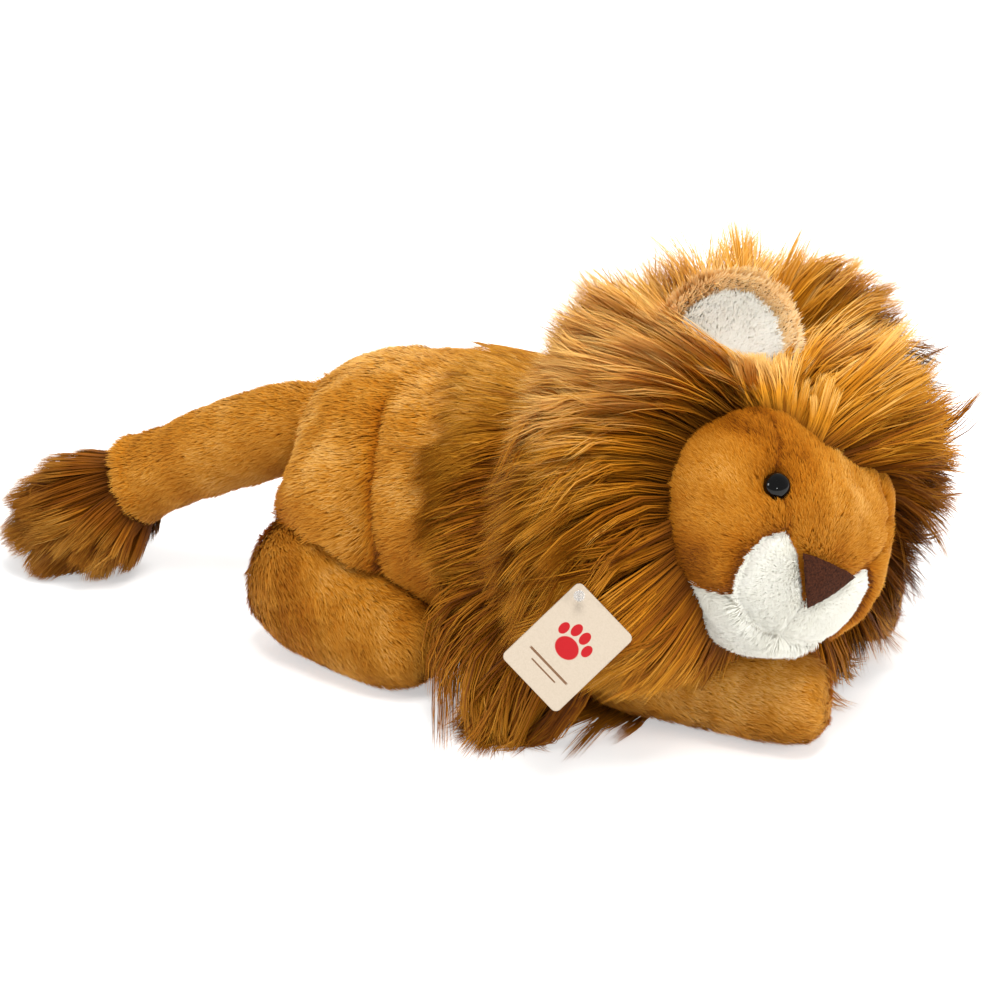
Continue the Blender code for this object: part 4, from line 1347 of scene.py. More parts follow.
@dataclass(frozen=True)
class FaceLines:
    """The face's seams and outlines, in the head's own frame.

    The muzzle and the chin are drawn as shares of the head's width and height.
    """

    frame: HeadFrame = HeadFrame()
    white_from: float = 0.018
    muzzle: Outline = (
        (0.002, -0.385), (0.002, -0.240), (-0.062, -0.172), (-0.137, -0.085), (-0.215, -0.030), (-0.272, -0.080),
        (-0.294, -0.165), (-0.288, -0.250), (-0.255, -0.330), (-0.165, -0.380), (-0.062, -0.397),
    )
    chin: Outline = (
        (-0.62, -0.34), (-0.475, -0.395), (-0.365, -0.375), (-0.300, -0.345), (-0.255, -0.322), (-0.165, -0.360),
        (-0.062, -0.385), (0.0, -0.375),
    )
    brow_seam: tuple[Place, ...] = (
        (-0.004, -0.011, 0.057), (0.030, -0.034, 0.046), (0.043, -0.036, 0.035), (0.053, -0.040, 0.016),
        (0.063, -0.030, 0.001), (0.064, -0.024, -0.007),
    )
    lip_seam: tuple[Place, ...] = ((0.066, 0.0, -0.030), (0.064, 0.0, -0.040), (0.058, 0.0, -0.049))
    mane_line: Outline = (  # how far forward the mane comes on the lion's right, by the bearing in degrees
        (-90.0, 0.014), (-75.0, 0.021), (-60.0, 0.024), (-45.0, 0.019), (-33.0, 0.015), (-22.6, 0.014),
        (-11.0, 0.009), (4.6, 0.004), (22.5, 0.002), (32.0, 0.005), (40.6, 0.009), (52.0, 0.011),
        (60.0, 0.012), (66.0, 0.013), (68.5, 0.022), (71.0, 0.034), (76.0, 0.039), (90.0, 0.041),
    )
    swept_line: Outline = (  # and on its left, where the forelock is swept over
        (-90.0, 0.014), (-40.0, 0.014), (-10.0, 0.012), (20.0, 0.016),
        (40.0, 0.027), (54.0, 0.037), (74.0, 0.042), (90.0, 0.041),
    )

    def halves(self, local: Array) -> Array:
        """The places turned over onto the right half of the head."""
        return local * np.array([1, 0, 1]) - np.abs(local) * np.array([0, 1, 0])

    def on_muzzle(self, local: Array) -> Array:
        """Whether each place is on a white muzzle panel."""
        half = self.halves(local)
        within = inside(self.muzzle, half[:, 1] / self.frame.width, half[:, 2] / self.frame.height)
        return within & (local[:, 0] > self.white_from)

    def on_chin(self, local: Array) -> Array:
        """Whether each place is on the white chin."""
        half = self.halves(local)
        across, up = np.array(self.chin).T
        line = np.interp(half[:, 1] / self.frame.width, across, up)
        return (half[:, 2] / self.frame.height < line) & (local[:, 0] > self.white_from) & ~self.on_muzzle(local)

    def mane_edge(self, local: Array) -> Array:
        """How far forward the mane comes at each place's bearing round the head."""
        bearing = np.degrees(np.arctan2(local[:, 2], np.abs(local[:, 1])))
        right, left = (np.interp(bearing, *np.array(line).T) for line in (self.mane_line, self.swept_line))
        return np.where(local[:, 1] < 0, right, left)

    def groove(self, local: Array) -> Array:
        """How far each place is from the nearest seam.

        Args:
            local: The places, in the head's own frame.

        Returns:
            The distances.
        """
        half = self.halves(local)
        round_head = unit(half) * self.frame.width / 2
        found = line_distance(round_head, unit(np.array(self.brow_seam)) * self.frame.width / 2)
        found = np.minimum(found, line_distance(half, np.array(self.lip_seam)))
        scale = np.array([self.frame.width, self.frame.height])
        outline = np.array([*self.muzzle, self.muzzle[0]]) * scale
        flat = line_distance(half[:, 1:], outline)
        return np.minimum(found, np.where(local[:, 0] > self.white_from, flat, np.inf))


@dataclass
class Head:
    """The head: one stuffed skin with its seams, golden and white pile, felt nose and safety eyes."""

    finishes: Finishes
    lines: FaceLines = field(default_factory=FaceLines)
    face_pile: Pile = field(
        default_factory=lambda: Pile(length=0.0060, height=0.0028, width=0.00062, per_mm2=3.6, stray=0.13)
    )
    muzzle_pile: Pile = field(
        default_factory=lambda: Pile(length=0.0036, height=0.0018, width=0.0006, per_mm2=5.0, stray=0.25, sway=0.2)
    )
    chin_pile: Pile = field(
        default_factory=lambda: Pile(length=0.0075, height=0.0034, width=0.0006, per_mm2=4.2, stray=0.28, sway=0.45)
    )
    draw_in: float = 0.0034
    seam_depth: float = 0.0030
    seam_width: float = 0.0034
    nose_swell: float = 1.09
    nose_voxel: float = 0.0008
    nose_ease: int = 16
    nose_tip: Place = (0.075, 0.0, -0.020)  # the face's pile is combed away from here
    swept: Place = (-0.45, 0.0, 0.10)  # and back and up besides
    muzzle_swell: float = 0.0012
    eye_radius: float = 0.0066
    eye_rise: float = 0.0050
    eye_sink: float = 0.0042
    far_sink: float = 0.0016  # the left eye lies this much deeper
    far_turn: float = math.radians(16)  # and sits this much further round
    cheek_swell: float = 0.0050  # how far the left cheek is stuffed out
    temple: Place = (0.027, 0.043, 0.038)
    temple_swell: float = 0.0050
    temple_spread: float = 0.018
    eye_socket: float = 0.0085
    socket_depth: float = 0.0012
    jowl_radius: float = 0.054  # outside this the lower corners of the cheeks are drawn in
    jowl_bearing: float = -47.0
    jowl_spread: float = 32.0
    jowl_draw: float = 0.82
    eyes: dict[Side, tuple[Array, Array]] = field(init=False, default_factory=dict)  # each one's top and its way

    def drawn_in(self, places: Array) -> Array:
        """The head's points with its left cheek stuffed out and both lower corners drawn in by their stitches.

        Args:
            places: The skin's points.

        Returns:
            Their new places.
        """
        local = self.lines.frame.local(places)
        upper = smooth_step(local[:, 0], -0.02, 0.02) * smooth_step(local[:, 2], -0.045, -0.010)
        swell = self.cheek_swell * smooth_step(local[:, 1], 0.012, 0.050) * upper
        apart = np.linalg.norm(local - np.array(self.temple), axis=1)
        swell = swell + self.temple_swell * np.exp(-((apart / self.temple_spread) ** 2))
        local = local + unit(local) * swell[:, None]
        radius = np.linalg.norm(local[:, 1:], axis=1)
        bearing = np.degrees(np.arctan2(local[:, 2], np.abs(local[:, 1])))
        corner = np.exp(-(((bearing - self.jowl_bearing) / self.jowl_spread) ** 2)) * self.jowl_draw
        less = np.maximum(radius - self.jowl_radius, 0) * corner
        local[:, 1:] *= (1 - less / np.maximum(radius, 1e-6))[:, None]
        return self.lines.frame.placed(local)

    def comb(self, points: Array) -> Array:
        """The face's pile runs from the nose back and outwards."""
        local = self.lines.frame.local(points)
        away = unit(local - np.array(self.nose_tip))
        return self.lines.frame.way(away + np.array(self.swept))

    def chin_comb(self, points: Array) -> Array:
        """The chin's pile runs back and down."""
        local = self.lines.frame.local(points)
        way = np.stack([np.full(len(local), -0.55), np.sign(local[:, 1]) * 0.35, np.full(len(local), -0.75)], axis=1)
        return self.lines.frame.way(way)

    def eye_middles(self) -> dict[Side, tuple[Array, Array]]:
        """Each eye's top and the way it faces, from the frame's nodes."""
        found = {}
        centre = np.array(self.lines.frame.centre)
        for side in Side:
            places = np.array([vertex.co for vertex in frame["nodes"][f"eye_{side.label}"].data.vertices])
            way = unit(places.mean(0) - centre)
            top, sink = self.drawn_in(places[[(places @ way).argmax()]])[0], self.eye_sink
            if side is Side.LEFT:
                upright = self.lines.frame.way(np.array([0.0, 0.0, 1.0]))
                turn = np.array(Matrix.Rotation(self.far_turn, 3, Vector(upright)))
                top, way, sink = centre + turn @ (top - centre), turn @ way, sink + self.far_sink
            found[side] = (top - way * sink, way)
        return found

    def golden_kept(self, points: Array, facing: Array) -> Array:
        """Each golden fibre's chance to stay: none on white, in the mane or under an eye.

        Args:
            points: The fibres' places.
            facing: The skin's normal at each; not used.

        Returns:
            The chances, from 0 to 1.
        """
        lines, local = self.lines, self.lines.frame.local(points)
        stays = ~(lines.on_muzzle(local) | lines.on_chin(local))
        front = smooth_step(local[:, 0] - lines.mane_edge(local), -0.016, -0.004)
        clear = np.ones(len(points))
        for top, way in self.eyes.values():
            clear *= np.linalg.norm(points - (top - way * self.eye_rise), axis=1) > self.eye_radius * 0.92
        on_seam = smooth_step(lines.groove(local), 0.0002, 0.0016)
        return stays * front * clear * (0.25 + 0.75 * on_seam)

    def muzzle_kept(self, points: Array, facing: Array) -> Array:
        """Each white fibre's chance to stay on the muzzle: none in its seams."""
        local = self.lines.frame.local(points)
        return self.lines.on_muzzle(local) * smooth_step(self.lines.groove(local), 0.0001, 0.0012)

    def chin_kept(self, points: Array, facing: Array) -> Array:
        """Each white fibre's chance to stay on the chin."""
        return self.lines.on_chin(self.lines.frame.local(points)).astype(float)

    def golden_shade(self, points: Array) -> Array:
        """The face's dye lot with painted light and shade: painted shade in its seams, deep on the brow, and paler
        towards the lion's left, partly as painted light where the side lamp falls.
        """
        local = self.lines.frame.local(points)
        seam = np.exp(-((self.lines.groove(local) / 0.0022) ** 2))
        cheek = np.tanh((local[:, 1] + 0.022) / 0.014)
        # painted shade in the seams; paler towards the lion's left, partly painted light
        return 0.15 * cheek - 0.22 * smooth_step(local[:, 2], 0.004, 0.040) - 0.36 * seam - 0.05

    def build(self) -> bpy.types.Object:
        """Builds the head and its face.

        Returns:
            The skin.
        """
        lines = self.lines
        nodes = ("head_cover", "head_filling", "muzzle_right", "muzzle_left", "chin")
        skin = soft_skin("head_skin", nodes, self.finishes.golden_backing, voxel=0.0022, draw_in=self.draw_in, ease=6)
        move_points(skin, self.drawn_in(vertex_places(skin)[0]))
        places, normals = vertex_places(skin)
        local = lines.frame.local(places)
        sunk = self.seam_depth * np.exp(-((lines.groove(local) / self.seam_width) ** 2))
        bulge = self.muzzle_swell * (lines.on_muzzle(local) * smooth_step(lines.groove(local), 0.0, 0.010))
        self.eyes = self.eye_middles()
        for top, way in self.eyes.values():
            near = np.linalg.norm(places - (top - way * self.eye_rise), axis=1)
            sunk += self.socket_depth * np.exp(-((near / self.eye_socket) ** 2))
        move_points(skin, places + normals * (bulge - sunk)[:, None])
        skin.data.materials.append(self.finishes.white_backing)
        middles = lines.frame.local(np.array([polygon.center for polygon in skin.data.polygons]))
        white = lines.on_muzzle(middles) | lines.on_chin(middles)
        skin.data.polygons.foreach_set("material_index", white.astype(np.int32))
        golden = self.face_pile.grow(
            "face_pile", skin, self.comb, self.finishes.golden, 51, self.golden_kept, self.golden_shade
        )
        muzzle = self.muzzle_pile.grow(
            "muzzle_pile", skin, self.comb, self.finishes.white, 52, self.muzzle_kept
        )
        chin = self.chin_pile.grow("chin_pile", skin, self.chin_comb, self.finishes.white, 53, self.chin_kept)
        dress(skin, "head", nodes)
        dress(golden, "head")
        dress(muzzle, "head")
        dress(chin, "head")
        self.build_nose()
        self.build_eyes()
        return skin

    def build_nose(self) -> None:
        """Builds the felt nose."""
        nose = soft_skin(
            "nose_felt_patch", ("nose_patch",), self.finishes.felt, voxel=self.nose_voxel, ease=self.nose_ease
        )
        places = vertex_places(nose)[0]
        middle = places.mean(0)
        move_points(nose, middle + (places - middle) * self.nose_swell)
        dress(nose, "head", ("nose_patch",))

    @property
    def dome_rise(self) -> float:
        """The whole height of an eye's dome, a little of it under the skin."""
        return self.eye_rise * 1.1

    def build_eyes(self) -> None:
        """Builds the glossy domes of the safety eyes."""
        for side, (top, way) in self.eyes.items():
            bpy.ops.object.select_all(action="DESELECT")
            bpy.ops.mesh.primitive_uv_sphere_add(segments=40, ring_count=24, radius=self.eye_radius)
            eye = bpy.context.view_layer.objects.active
            eye.name = eye.data.name = f"eye_dome_{side.label}"
            bpy.ops.object.mode_set(mode="EDIT")
            bpy.ops.mesh.select_all(action="SELECT")
            bpy.ops.transform.resize(value=(1.0, 1.0, self.dome_rise / self.eye_radius))
            bpy.ops.mesh.bisect(
                plane_co=(0.0, 0.0, -self.eye_rise * 0.5), plane_no=(0.0, 0.0, 1.0), clear_inner=True, use_fill=True
            )
            bpy.ops.object.mode_set(mode="OBJECT")
            turned = Vector(way).to_track_quat("Z", "Y").to_matrix().to_4x4()
            middle = Vector(top) - Vector(way) * self.dome_rise
            eye.data.transform(Matrix.Translation(middle) @ turned)
            eye.data.shade_smooth()
            give_finish(eye, self.finishes.resin)
            dress(eye, "head", (f"eye_{side.label}",))
            give_finish(frame["nodes"][f"eye_washer_{side.label}"], self.finishes.washer)


@dataclass(frozen=True)
class KeepOut:
    """A flat oval region, and the room before it, that the mane leaves free."""

    matrix: Matrix  # its z is the way it faces
    half: tuple[float, float]
    behind: float
    ahead: float

    def over(self, line: Array) -> Array:
        """How far each point is into the room: above 0 within it."""
        local = carried(line, self.matrix.inverted())
        size = np.linalg.norm(local[..., :2] / np.array(self.half), axis=-1)
        slab = (local[..., 2] > -self.behind) & (local[..., 2] < self.ahead)
        return np.where(slab, 1 - size, -1.0)


@dataclass
class Ear:
    """One cupped ear: a golden back and rim, and a white lining."""

    finishes: Finishes
    side: Side
    head: HeadFrame = field(default_factory=HeadFrame)
    seat: Place = (-0.024, 0.036, 0.045)
    lean: float = math.radians(16)
    facing: float = math.radians(-20)
    shown_middle: tuple[float, float] = (0.004, 0.062)  # across it and up it
    shown_half: tuple[float, float] = (0.046, 0.033)
    shown_turn: float = math.radians(-22)
    shift: float = 0.005  # how much nearer to the crown's middle it is sewn
    shown_behind: float = 0.006  # how far the free room reaches behind the ear's front
    shown_ahead: float = 0.055
    pale: float = 0.45  # added to its lining's dye lot, as painted light that lifts the shade inside the cup
    back_pile: Pile = field(
        default_factory=lambda: Pile(length=0.0080, height=0.0048, width=0.0007, per_mm2=2.6, stray=0.22)
    )
    lining_pile: Pile = field(
        default_factory=lambda: Pile(length=0.0058, height=0.0036, width=0.0007, per_mm2=3.0, stray=0.35)
    )

    @property
    def matrix(self) -> Matrix:
        """The ear's own frame, from its root: x is the way it faces and z runs to its tip."""
        seat = Matrix.Translation(Vector(self.seat) * Vector((1.0, self.side.value, 1.0)))
        sign = -self.side.value
        lean = Matrix.Rotation(sign * self.lean, 4, "X") @ Matrix.Rotation(sign * self.facing, 4, "Z")
        return self.head.matrix @ seat @ lean

    @property
    def base(self) -> Array:
        """The middle of the ear's root."""
        return np.array(self.matrix.translation)

    @property
    def keep_out(self) -> KeepOut:
        """The room before the ear's upper part, which the mane leaves free."""
        turned = Matrix.Translation((0.0, *self.shown_middle)) @ Matrix.Rotation(self.shown_turn, 4, "X")
        shown = self.matrix @ turned @ Matrix(((0, 0, 1, 0), (1, 0, 0, 0), (0, 1, 0, 0), (0, 0, 0, 1)))
        return KeepOut(shown, self.shown_half, self.shown_behind, self.shown_ahead)

    def comb(self, points: Array) -> Array:
        """The pile runs from the ear's root out to its rim."""
        return points - self.base

    def build(self) -> None:
        """Builds the ear's back and its lining, each with its pile."""
        name = self.side.label
        body = f"ear_{name}"
        seed = 61 if self.side is Side.RIGHT else 65
        outer, inner = (f"ear_back_{name}",), (f"ear_lining_{name}",)
        golden, white = self.finishes.golden_backing, self.finishes.white_backing
        back = soft_skin(f"ear_skin_{name}", outer, golden, voxel=0.002, draw_in=0.0022, ease=4)
        lining = soft_skin(f"ear_lining_skin_{name}", inner, white, voxel=0.0016, draw_in=0.0010, ease=3)
        moved = self.head.way(np.array([0.0, -self.side.value * self.shift, 0.0]))
        for skin in (back, lining):
            move_points(skin, vertex_places(skin)[0] + moved)
        # the rim's pale pile is painted rim light
        rim = self.back_pile.grow(f"ear_pile_{name}", back, self.comb, self.finishes.pale, seed)
        fleece = self.lining_pile.grow(
            f"ear_lining_pile_{name}", lining, self.comb, self.finishes.white, seed + 1, shade=even(self.pale)
        )
        dress(back, body, outer)
        dress(lining, body, inner)
        dress(rim, body)
        dress(fleece, body)


# The mane


@dataclass
class Mane:
    """The long mane: the locks along the face and on the parting, the ruff and the cape over the shoulders."""

    finishes: Finishes
    lines: FaceLines
    head_skin: bpy.types.Object
    torso_skin: bpy.types.Object
    keep_out: KeepOut
    tag: Matrix
    edge: LongPile = field(
        default_factory=lambda: LongPile(length=0.080, lock_gap=0.0080, lock_stray=0.17, rise=0.35, hug=0.55)
    )
    ruff: LongPile = field(default_factory=lambda: LongPile(length=0.080, hug=0.55))
    cape: LongPile = field(default_factory=lambda: LongPile(length=0.066, hug=0.8, rise=0.4))
    edge_per_mm2: float = 3.8
    ruff_per_mm2: float = 1.25
    cape_per_mm2: float = 1.2
    edge_rear: float = -0.016  # how far back on the head its locks stand
    edge_run: Place = (0.22, 0.45, 0.9)  # how far it turns back, falls and leaves the parting
    ruff_run: Place = (0.42, 0.40, 0.3)
    forelock_run: Place = (0.30, 0.0, 0.35)
    ruff_ground: Place = (0.70, 0.70, 0.70)  # its size as a share of the frame's mane
    ruff_front: float = -0.014
    cape_ground: Place = (0.94, 0.82, 0.82)
    cape_rear: float = -0.042
    flank_rear: float = -0.0405  # where the cape's locks end at the floor
    flank_slope: float = 0.340  # and how much further back they reach for their height
    flank_ragged: float = 0.032  # how far the locks differ there
    parting: float = -0.023
    forelock: LongPile = field(
        default_factory=lambda: LongPile(
            length=0.027, lock_gap=0.0060, lock_stray=0.16, length_spread=0.28, rise=0.30, hug=0.40
        )
    )
    forelock_per_mm2: float = 5.0
    forelock_half: float = 0.013  # how far it reaches to each side of the parting
    forelock_depth: float = 0.042  # and back from the mane's edge
    crown_painted_light: float = 0.54  # painted light from above: how much paler the dye lot is over the crown
    rump_pale: float = 0.12  # and towards the rump
    left_deep: float = 0.06  # painted shade: how much deeper on the lion's left
    deep: float = 0.20  # and everywhere
    tag_half: tuple[float, float] = (0.022, 0.029)  # the swing tag's half sizes with some room
    tag_room: float = 0.002  # how far behind it the hair lies
    tag_slope: float = 0.9  # how steeply the hair may rise beside it
    tag_beside: float = 0.03  # and how far from it that ends
    tag_ahead: float = 0.05
    stub: float = 0.12  # a fibre that the room before the ear leaves shorter than this share is left out
    skin_gap: float = 0.007  # how far over the torso's skin the cape's tips lie
    most: int = 26000  # fibres in one piece
    far: float = 0.107  # the mane passes no y beyond this
    top: float = 0.233  # and the ruff no z beyond this
    ahead: float = 0.157  # and no x
    ruff_hull: Hull = field(init=False)
    cape_hull: Hull = field(init=False)

    def __post_init__(self) -> None:
        """Works out the two forms that the mane is trimmed to."""
        reach = (1.18, 1.30, 1.14, 1.06, 1.05, 1.07, 1.03, 0.99, 0.92, 0.68, 0.64, 0.96)
        middle, half = (-0.018, 0.0, 0.002), (0.068, 0.125, 0.131)
        self.ruff_hull = Hull(
            self.lines.frame.matrix, middle, half, reach=reach, far=self.far, top=self.top, ahead=self.ahead
        )
        reach = (1.02, 0.96, 1.0, 0.96, 1.08, 1.52, 1.1, 1.30)
        middle, half = (-0.018, 0.0, 0.076), (0.085, 0.106, 0.087)
        self.cape_hull = Hull(Matrix.Identity(4), middle, half, reach=reach, far=self.far)

    def ground(self, name: str, node: str, hull: Hull, size: Place) -> bpy.types.Object:
        """The skin that a part of the mane stands in: the frame's form made smaller about the hull's middle.

        Args:
            name: The skin's name.
            node: The frame's node.
            hull: The form that the hair on it is trimmed to.
            size: Its size as shares of the node's.

        Returns:
            The skin.
        """
        # its dark backing is painted shade for the mane's depths
        skin = soft_skin(name, (node,), self.finishes.painted_shade_backing, voxel=0.005, ease=10)
        middle = hull.matrix @ Matrix.Translation(hull.middle)
        local = carried(vertex_places(skin)[0], middle.inverted()) * np.array(size)
        move_points(skin, carried(local, middle))
        return skin

    def flow(self, back: float, fall: float, lateral: float) -> Field:
        """How the mane runs round the head: away from the face, off the parting on the crown, back, and down.

        Args:
            back: How far it turns back.
            fall: How far it falls.
            lateral: How far it leaves the parting.

        Returns:
            The way at each place, as a function.
        """
        frame_of = self.lines.frame

        def way(points: Array) -> Array:
            """The way at each place."""
            local = frame_of.local(points)
            radial = unit(local * np.array([0, 1, 1]))
            crown = smooth_step(radial[:, 2], 0.25, 0.9)
            side = np.tanh((local[:, 1] - self.parting + 0.004 * ripple(local, 0.012, 9)) / 0.010)
            radial[:, 1] += side * crown * lateral
            radial[:, 0] -= back * (1 - 0.45 * crown)
            return unit(frame_of.way(radial) + np.array([[0.0, 0.0, -fall]]) * (1 - 0.85 * crown)[:, None])

        return way

    def cape_flow(self, points: Array) -> Array:
        """How the mane runs over the shoulders: back and down.

        Args:
            points: The places.

        Returns:
            The way at each.
        """
        front = smooth_step(points[:, 0], 0.0, 0.05)
        low = smooth_step(-points[:, 2], -0.085, -0.035)
        ahead = -1.0 + 0.55 * front + 0.60 * low
        fall = -0.55 - 0.6 * low - 0.4 * front
        return unit(np.stack([ahead, np.sign(points[:, 1]) * low, fall], axis=1))

    @staticmethod
    def cape_lengths(points: Array) -> Array:
        """How much longer the cape's fibres are low on the chest."""
        return 1 + 0.25 * smooth_step(-points[:, 2], -0.09, -0.05)

    def shade(self, line: Array) -> Array:
        """Painted light and shade in the dye lot: deep low down and, as painted shade, on the lion's left; paler over
        the crown, as painted light from above, on its right and towards the rump.

        Args:
            line: The fibres' points.

        Returns:
            What is added to each fibre's dye lot.
        """
        tips = line[:, -1]
        local = self.lines.frame.local(tips)
        crown = smooth_step(tips[:, 2], 0.13, 0.205)
        rump = smooth_step(-tips[:, 0], 0.05, 0.09)
        side = self.left_deep * np.tanh(local[:, 1] / 0.05)
        # painted light over the crown, painted shade on the lion's left
        return self.crown_painted_light * crown - side + self.rump_pale * rump - self.deep

    def behind_tag(self, line: Array) -> Array:
        """Presses the fibres behind the swing tag where they would cross it.

        Args:
            line: The fibres' points.

        Returns:
            Their new places.
        """
        local = carried(line, self.tag.inverted())
        beside = np.maximum(np.abs(local[..., 0]) - self.tag_half[0], np.abs(local[..., 1]) - self.tag_half[1])
        limit = -self.tag_room + self.tag_slope * np.maximum(beside, 0)
        over = (local[..., 2] > limit) & (local[..., 2] < self.tag_ahead) & (beside < self.tag_beside)
        local[..., 2] = np.where(over, limit, local[..., 2])
        return carried(local, self.tag)

    def finish_fibres(
        self, name: str, line: Array, lock: Array, pile: LongPile, hull: Hull, body: str, seed: int
    ) -> None:
        """Makes the fibres' meshes and puts them on their body.

        Args:
            name: The pieces' name.
            line: The fibres' points.
            lock: Each one's lock.
            pile: What they are.
            hull: The form that they are trimmed to.
            body: The body that they move with.
            seed: The random seed.
        """
        line, left = pile.trimmed(line, self.keep_out.over(line))
        line, lock = self.behind_tag(line[left > self.stub]), lock[left > self.stub]
        line[:, :, 2] = np.maximum(line[:, :, 2], FLOOR_GAP)
        widths = pile.width * np.random.default_rng(seed).uniform(0.75, 1.25, len(line))
        lots = pile.lots(line, lock, seed) + self.shade(line)
        order = np.argsort(line[:, 0, 1], kind="stable")
        for number, rows in enumerate(np.array_split(order, -(-len(order) // self.most))):
            own, outward = line[rows], pile.outward(line[rows], hull)
            piece = f"{name}_{number + 1}"
            fibres = ribbons(piece, own, widths[rows], outward, lots[rows], self.finishes.mane, seed + number)
            dress(fibres, body)

    def build_edge(self) -> None:
        """Builds the row of locks along the face."""
        frame_of = self.lines.frame

        def kept(points: Array, facing: Array) -> Array:
            """Each fibre's chance to stay: greatest close behind the face."""
            local = frame_of.local(points)
            behind = self.lines.mane_edge(local) - local[:, 0]
            crowded = np.exp(-np.maximum(behind, 0) / 0.012)
            return (behind > 0) * (local[:, 0] > self.edge_rear) * (0.35 + 0.65 * crowded)

        roots = scattered(self.head_skin, self.edge_per_mm2, 71, kept)[0]
        line, lock = self.edge.spines(roots, self.ruff_hull, self.flow(*self.edge_run), 72)
        self.finish_fibres("mane_edge", line, lock, self.edge, self.ruff_hull, "head", 73)

    def build_forelock(self) -> None:
        """Builds the shorter locks on the parting, which cover the ear's root."""
        frame_of = self.lines.frame

        def kept(points: Array, facing: Array) -> Array:
            """Whether each fibre stands on the parting, behind the mane's edge."""
            local = frame_of.local(points)
            behind = self.lines.mane_edge(local) - local[:, 0]
            beside = np.abs(local[:, 1] - self.parting) / self.forelock_half
            return (behind > 0) * (behind < self.forelock_depth) * (local[:, 2] > 0.02) * (beside < 1)

        roots = scattered(self.head_skin, self.forelock_per_mm2, 81, kept)[0]
        line, lock = self.forelock.spines(roots, self.ruff_hull, self.flow(*self.forelock_run), 82)
        self.finish_fibres("mane_forelock", line, lock, self.forelock, self.ruff_hull, "head", 83)

    def build_ruff(self) -> None:
        """Builds the ruff round the head."""
        frame_of = self.lines.frame
        ground = self.ground("ruff_skin", "face_mane", self.ruff_hull, self.ruff_ground)
        local = frame_of.local(vertex_places(ground)[0])
        local[:, 0] = np.minimum(local[:, 0], self.ruff_front)
        move_points(ground, frame_of.placed(local))

        def kept(points: Array, facing: Array) -> Array:
            """Whether each fibre's skin faces out from the head."""
            local, way = frame_of.local(points), frame_of.local_way(facing)
            radial = unit(local * np.array([0, 1, 1]))
            return ((way * radial).sum(1) > -0.15).astype(float)

        roots = scattered(ground, self.ruff_per_mm2, 74, kept)[0]
        line, lock = self.ruff.spines(roots, self.ruff_hull, self.flow(*self.ruff_run), 75)
        self.finish_fibres("mane_ruff", line, lock, self.ruff, self.ruff_hull, "head", 76)
        dress(ground, "head", ("face_mane",))

    def build_cape(self) -> None:
        """Builds the cape over the shoulders and chest."""
        ground = self.ground("cape_skin", "shoulder_mane", self.cape_hull, self.cape_ground)
        places = vertex_places(ground)[0]
        places[:, 0] = np.maximum(places[:, 0], self.cape_rear)
        move_points(ground, places)

        def kept(points: Array, facing: Array) -> Array:
            """Whether each fibre's skin faces out from the chest."""
            radial = unit((points - np.array([0.0, 0.0, 0.075])) * np.array([0, 1, 1]))
            return ((facing * radial).sum(1) > 0.0) & (points[:, 0] > self.cape_rear)

        roots = scattered(ground, self.cape_per_mm2, 77, kept)[0]
        line, lock = self.cape.spines(roots, self.cape_hull, self.cape_flow, 78, self.cape_lengths)
        stray = np.random.default_rng(80).normal(0, self.flank_ragged / 8, len(lock))
        uneven = self.flank_ragged * (lock - 0.5) + stray
        rear = self.flank_rear - self.flank_slope * line[..., 2] + uneven[:, None]
        line, left = self.cape.trimmed(line, rear - line[..., 0])
        kept_rows = left > self.cape.shortest
        line, lock = pushed_out(line[kept_rows], self.torso_skin, self.skin_gap), lock[kept_rows]
        self.finish_fibres("mane_cape", line, lock, self.cape, self.cape_hull, "torso", 79)
        dress(ground, "torso", ("shoulder_mane",))


# The swing tag


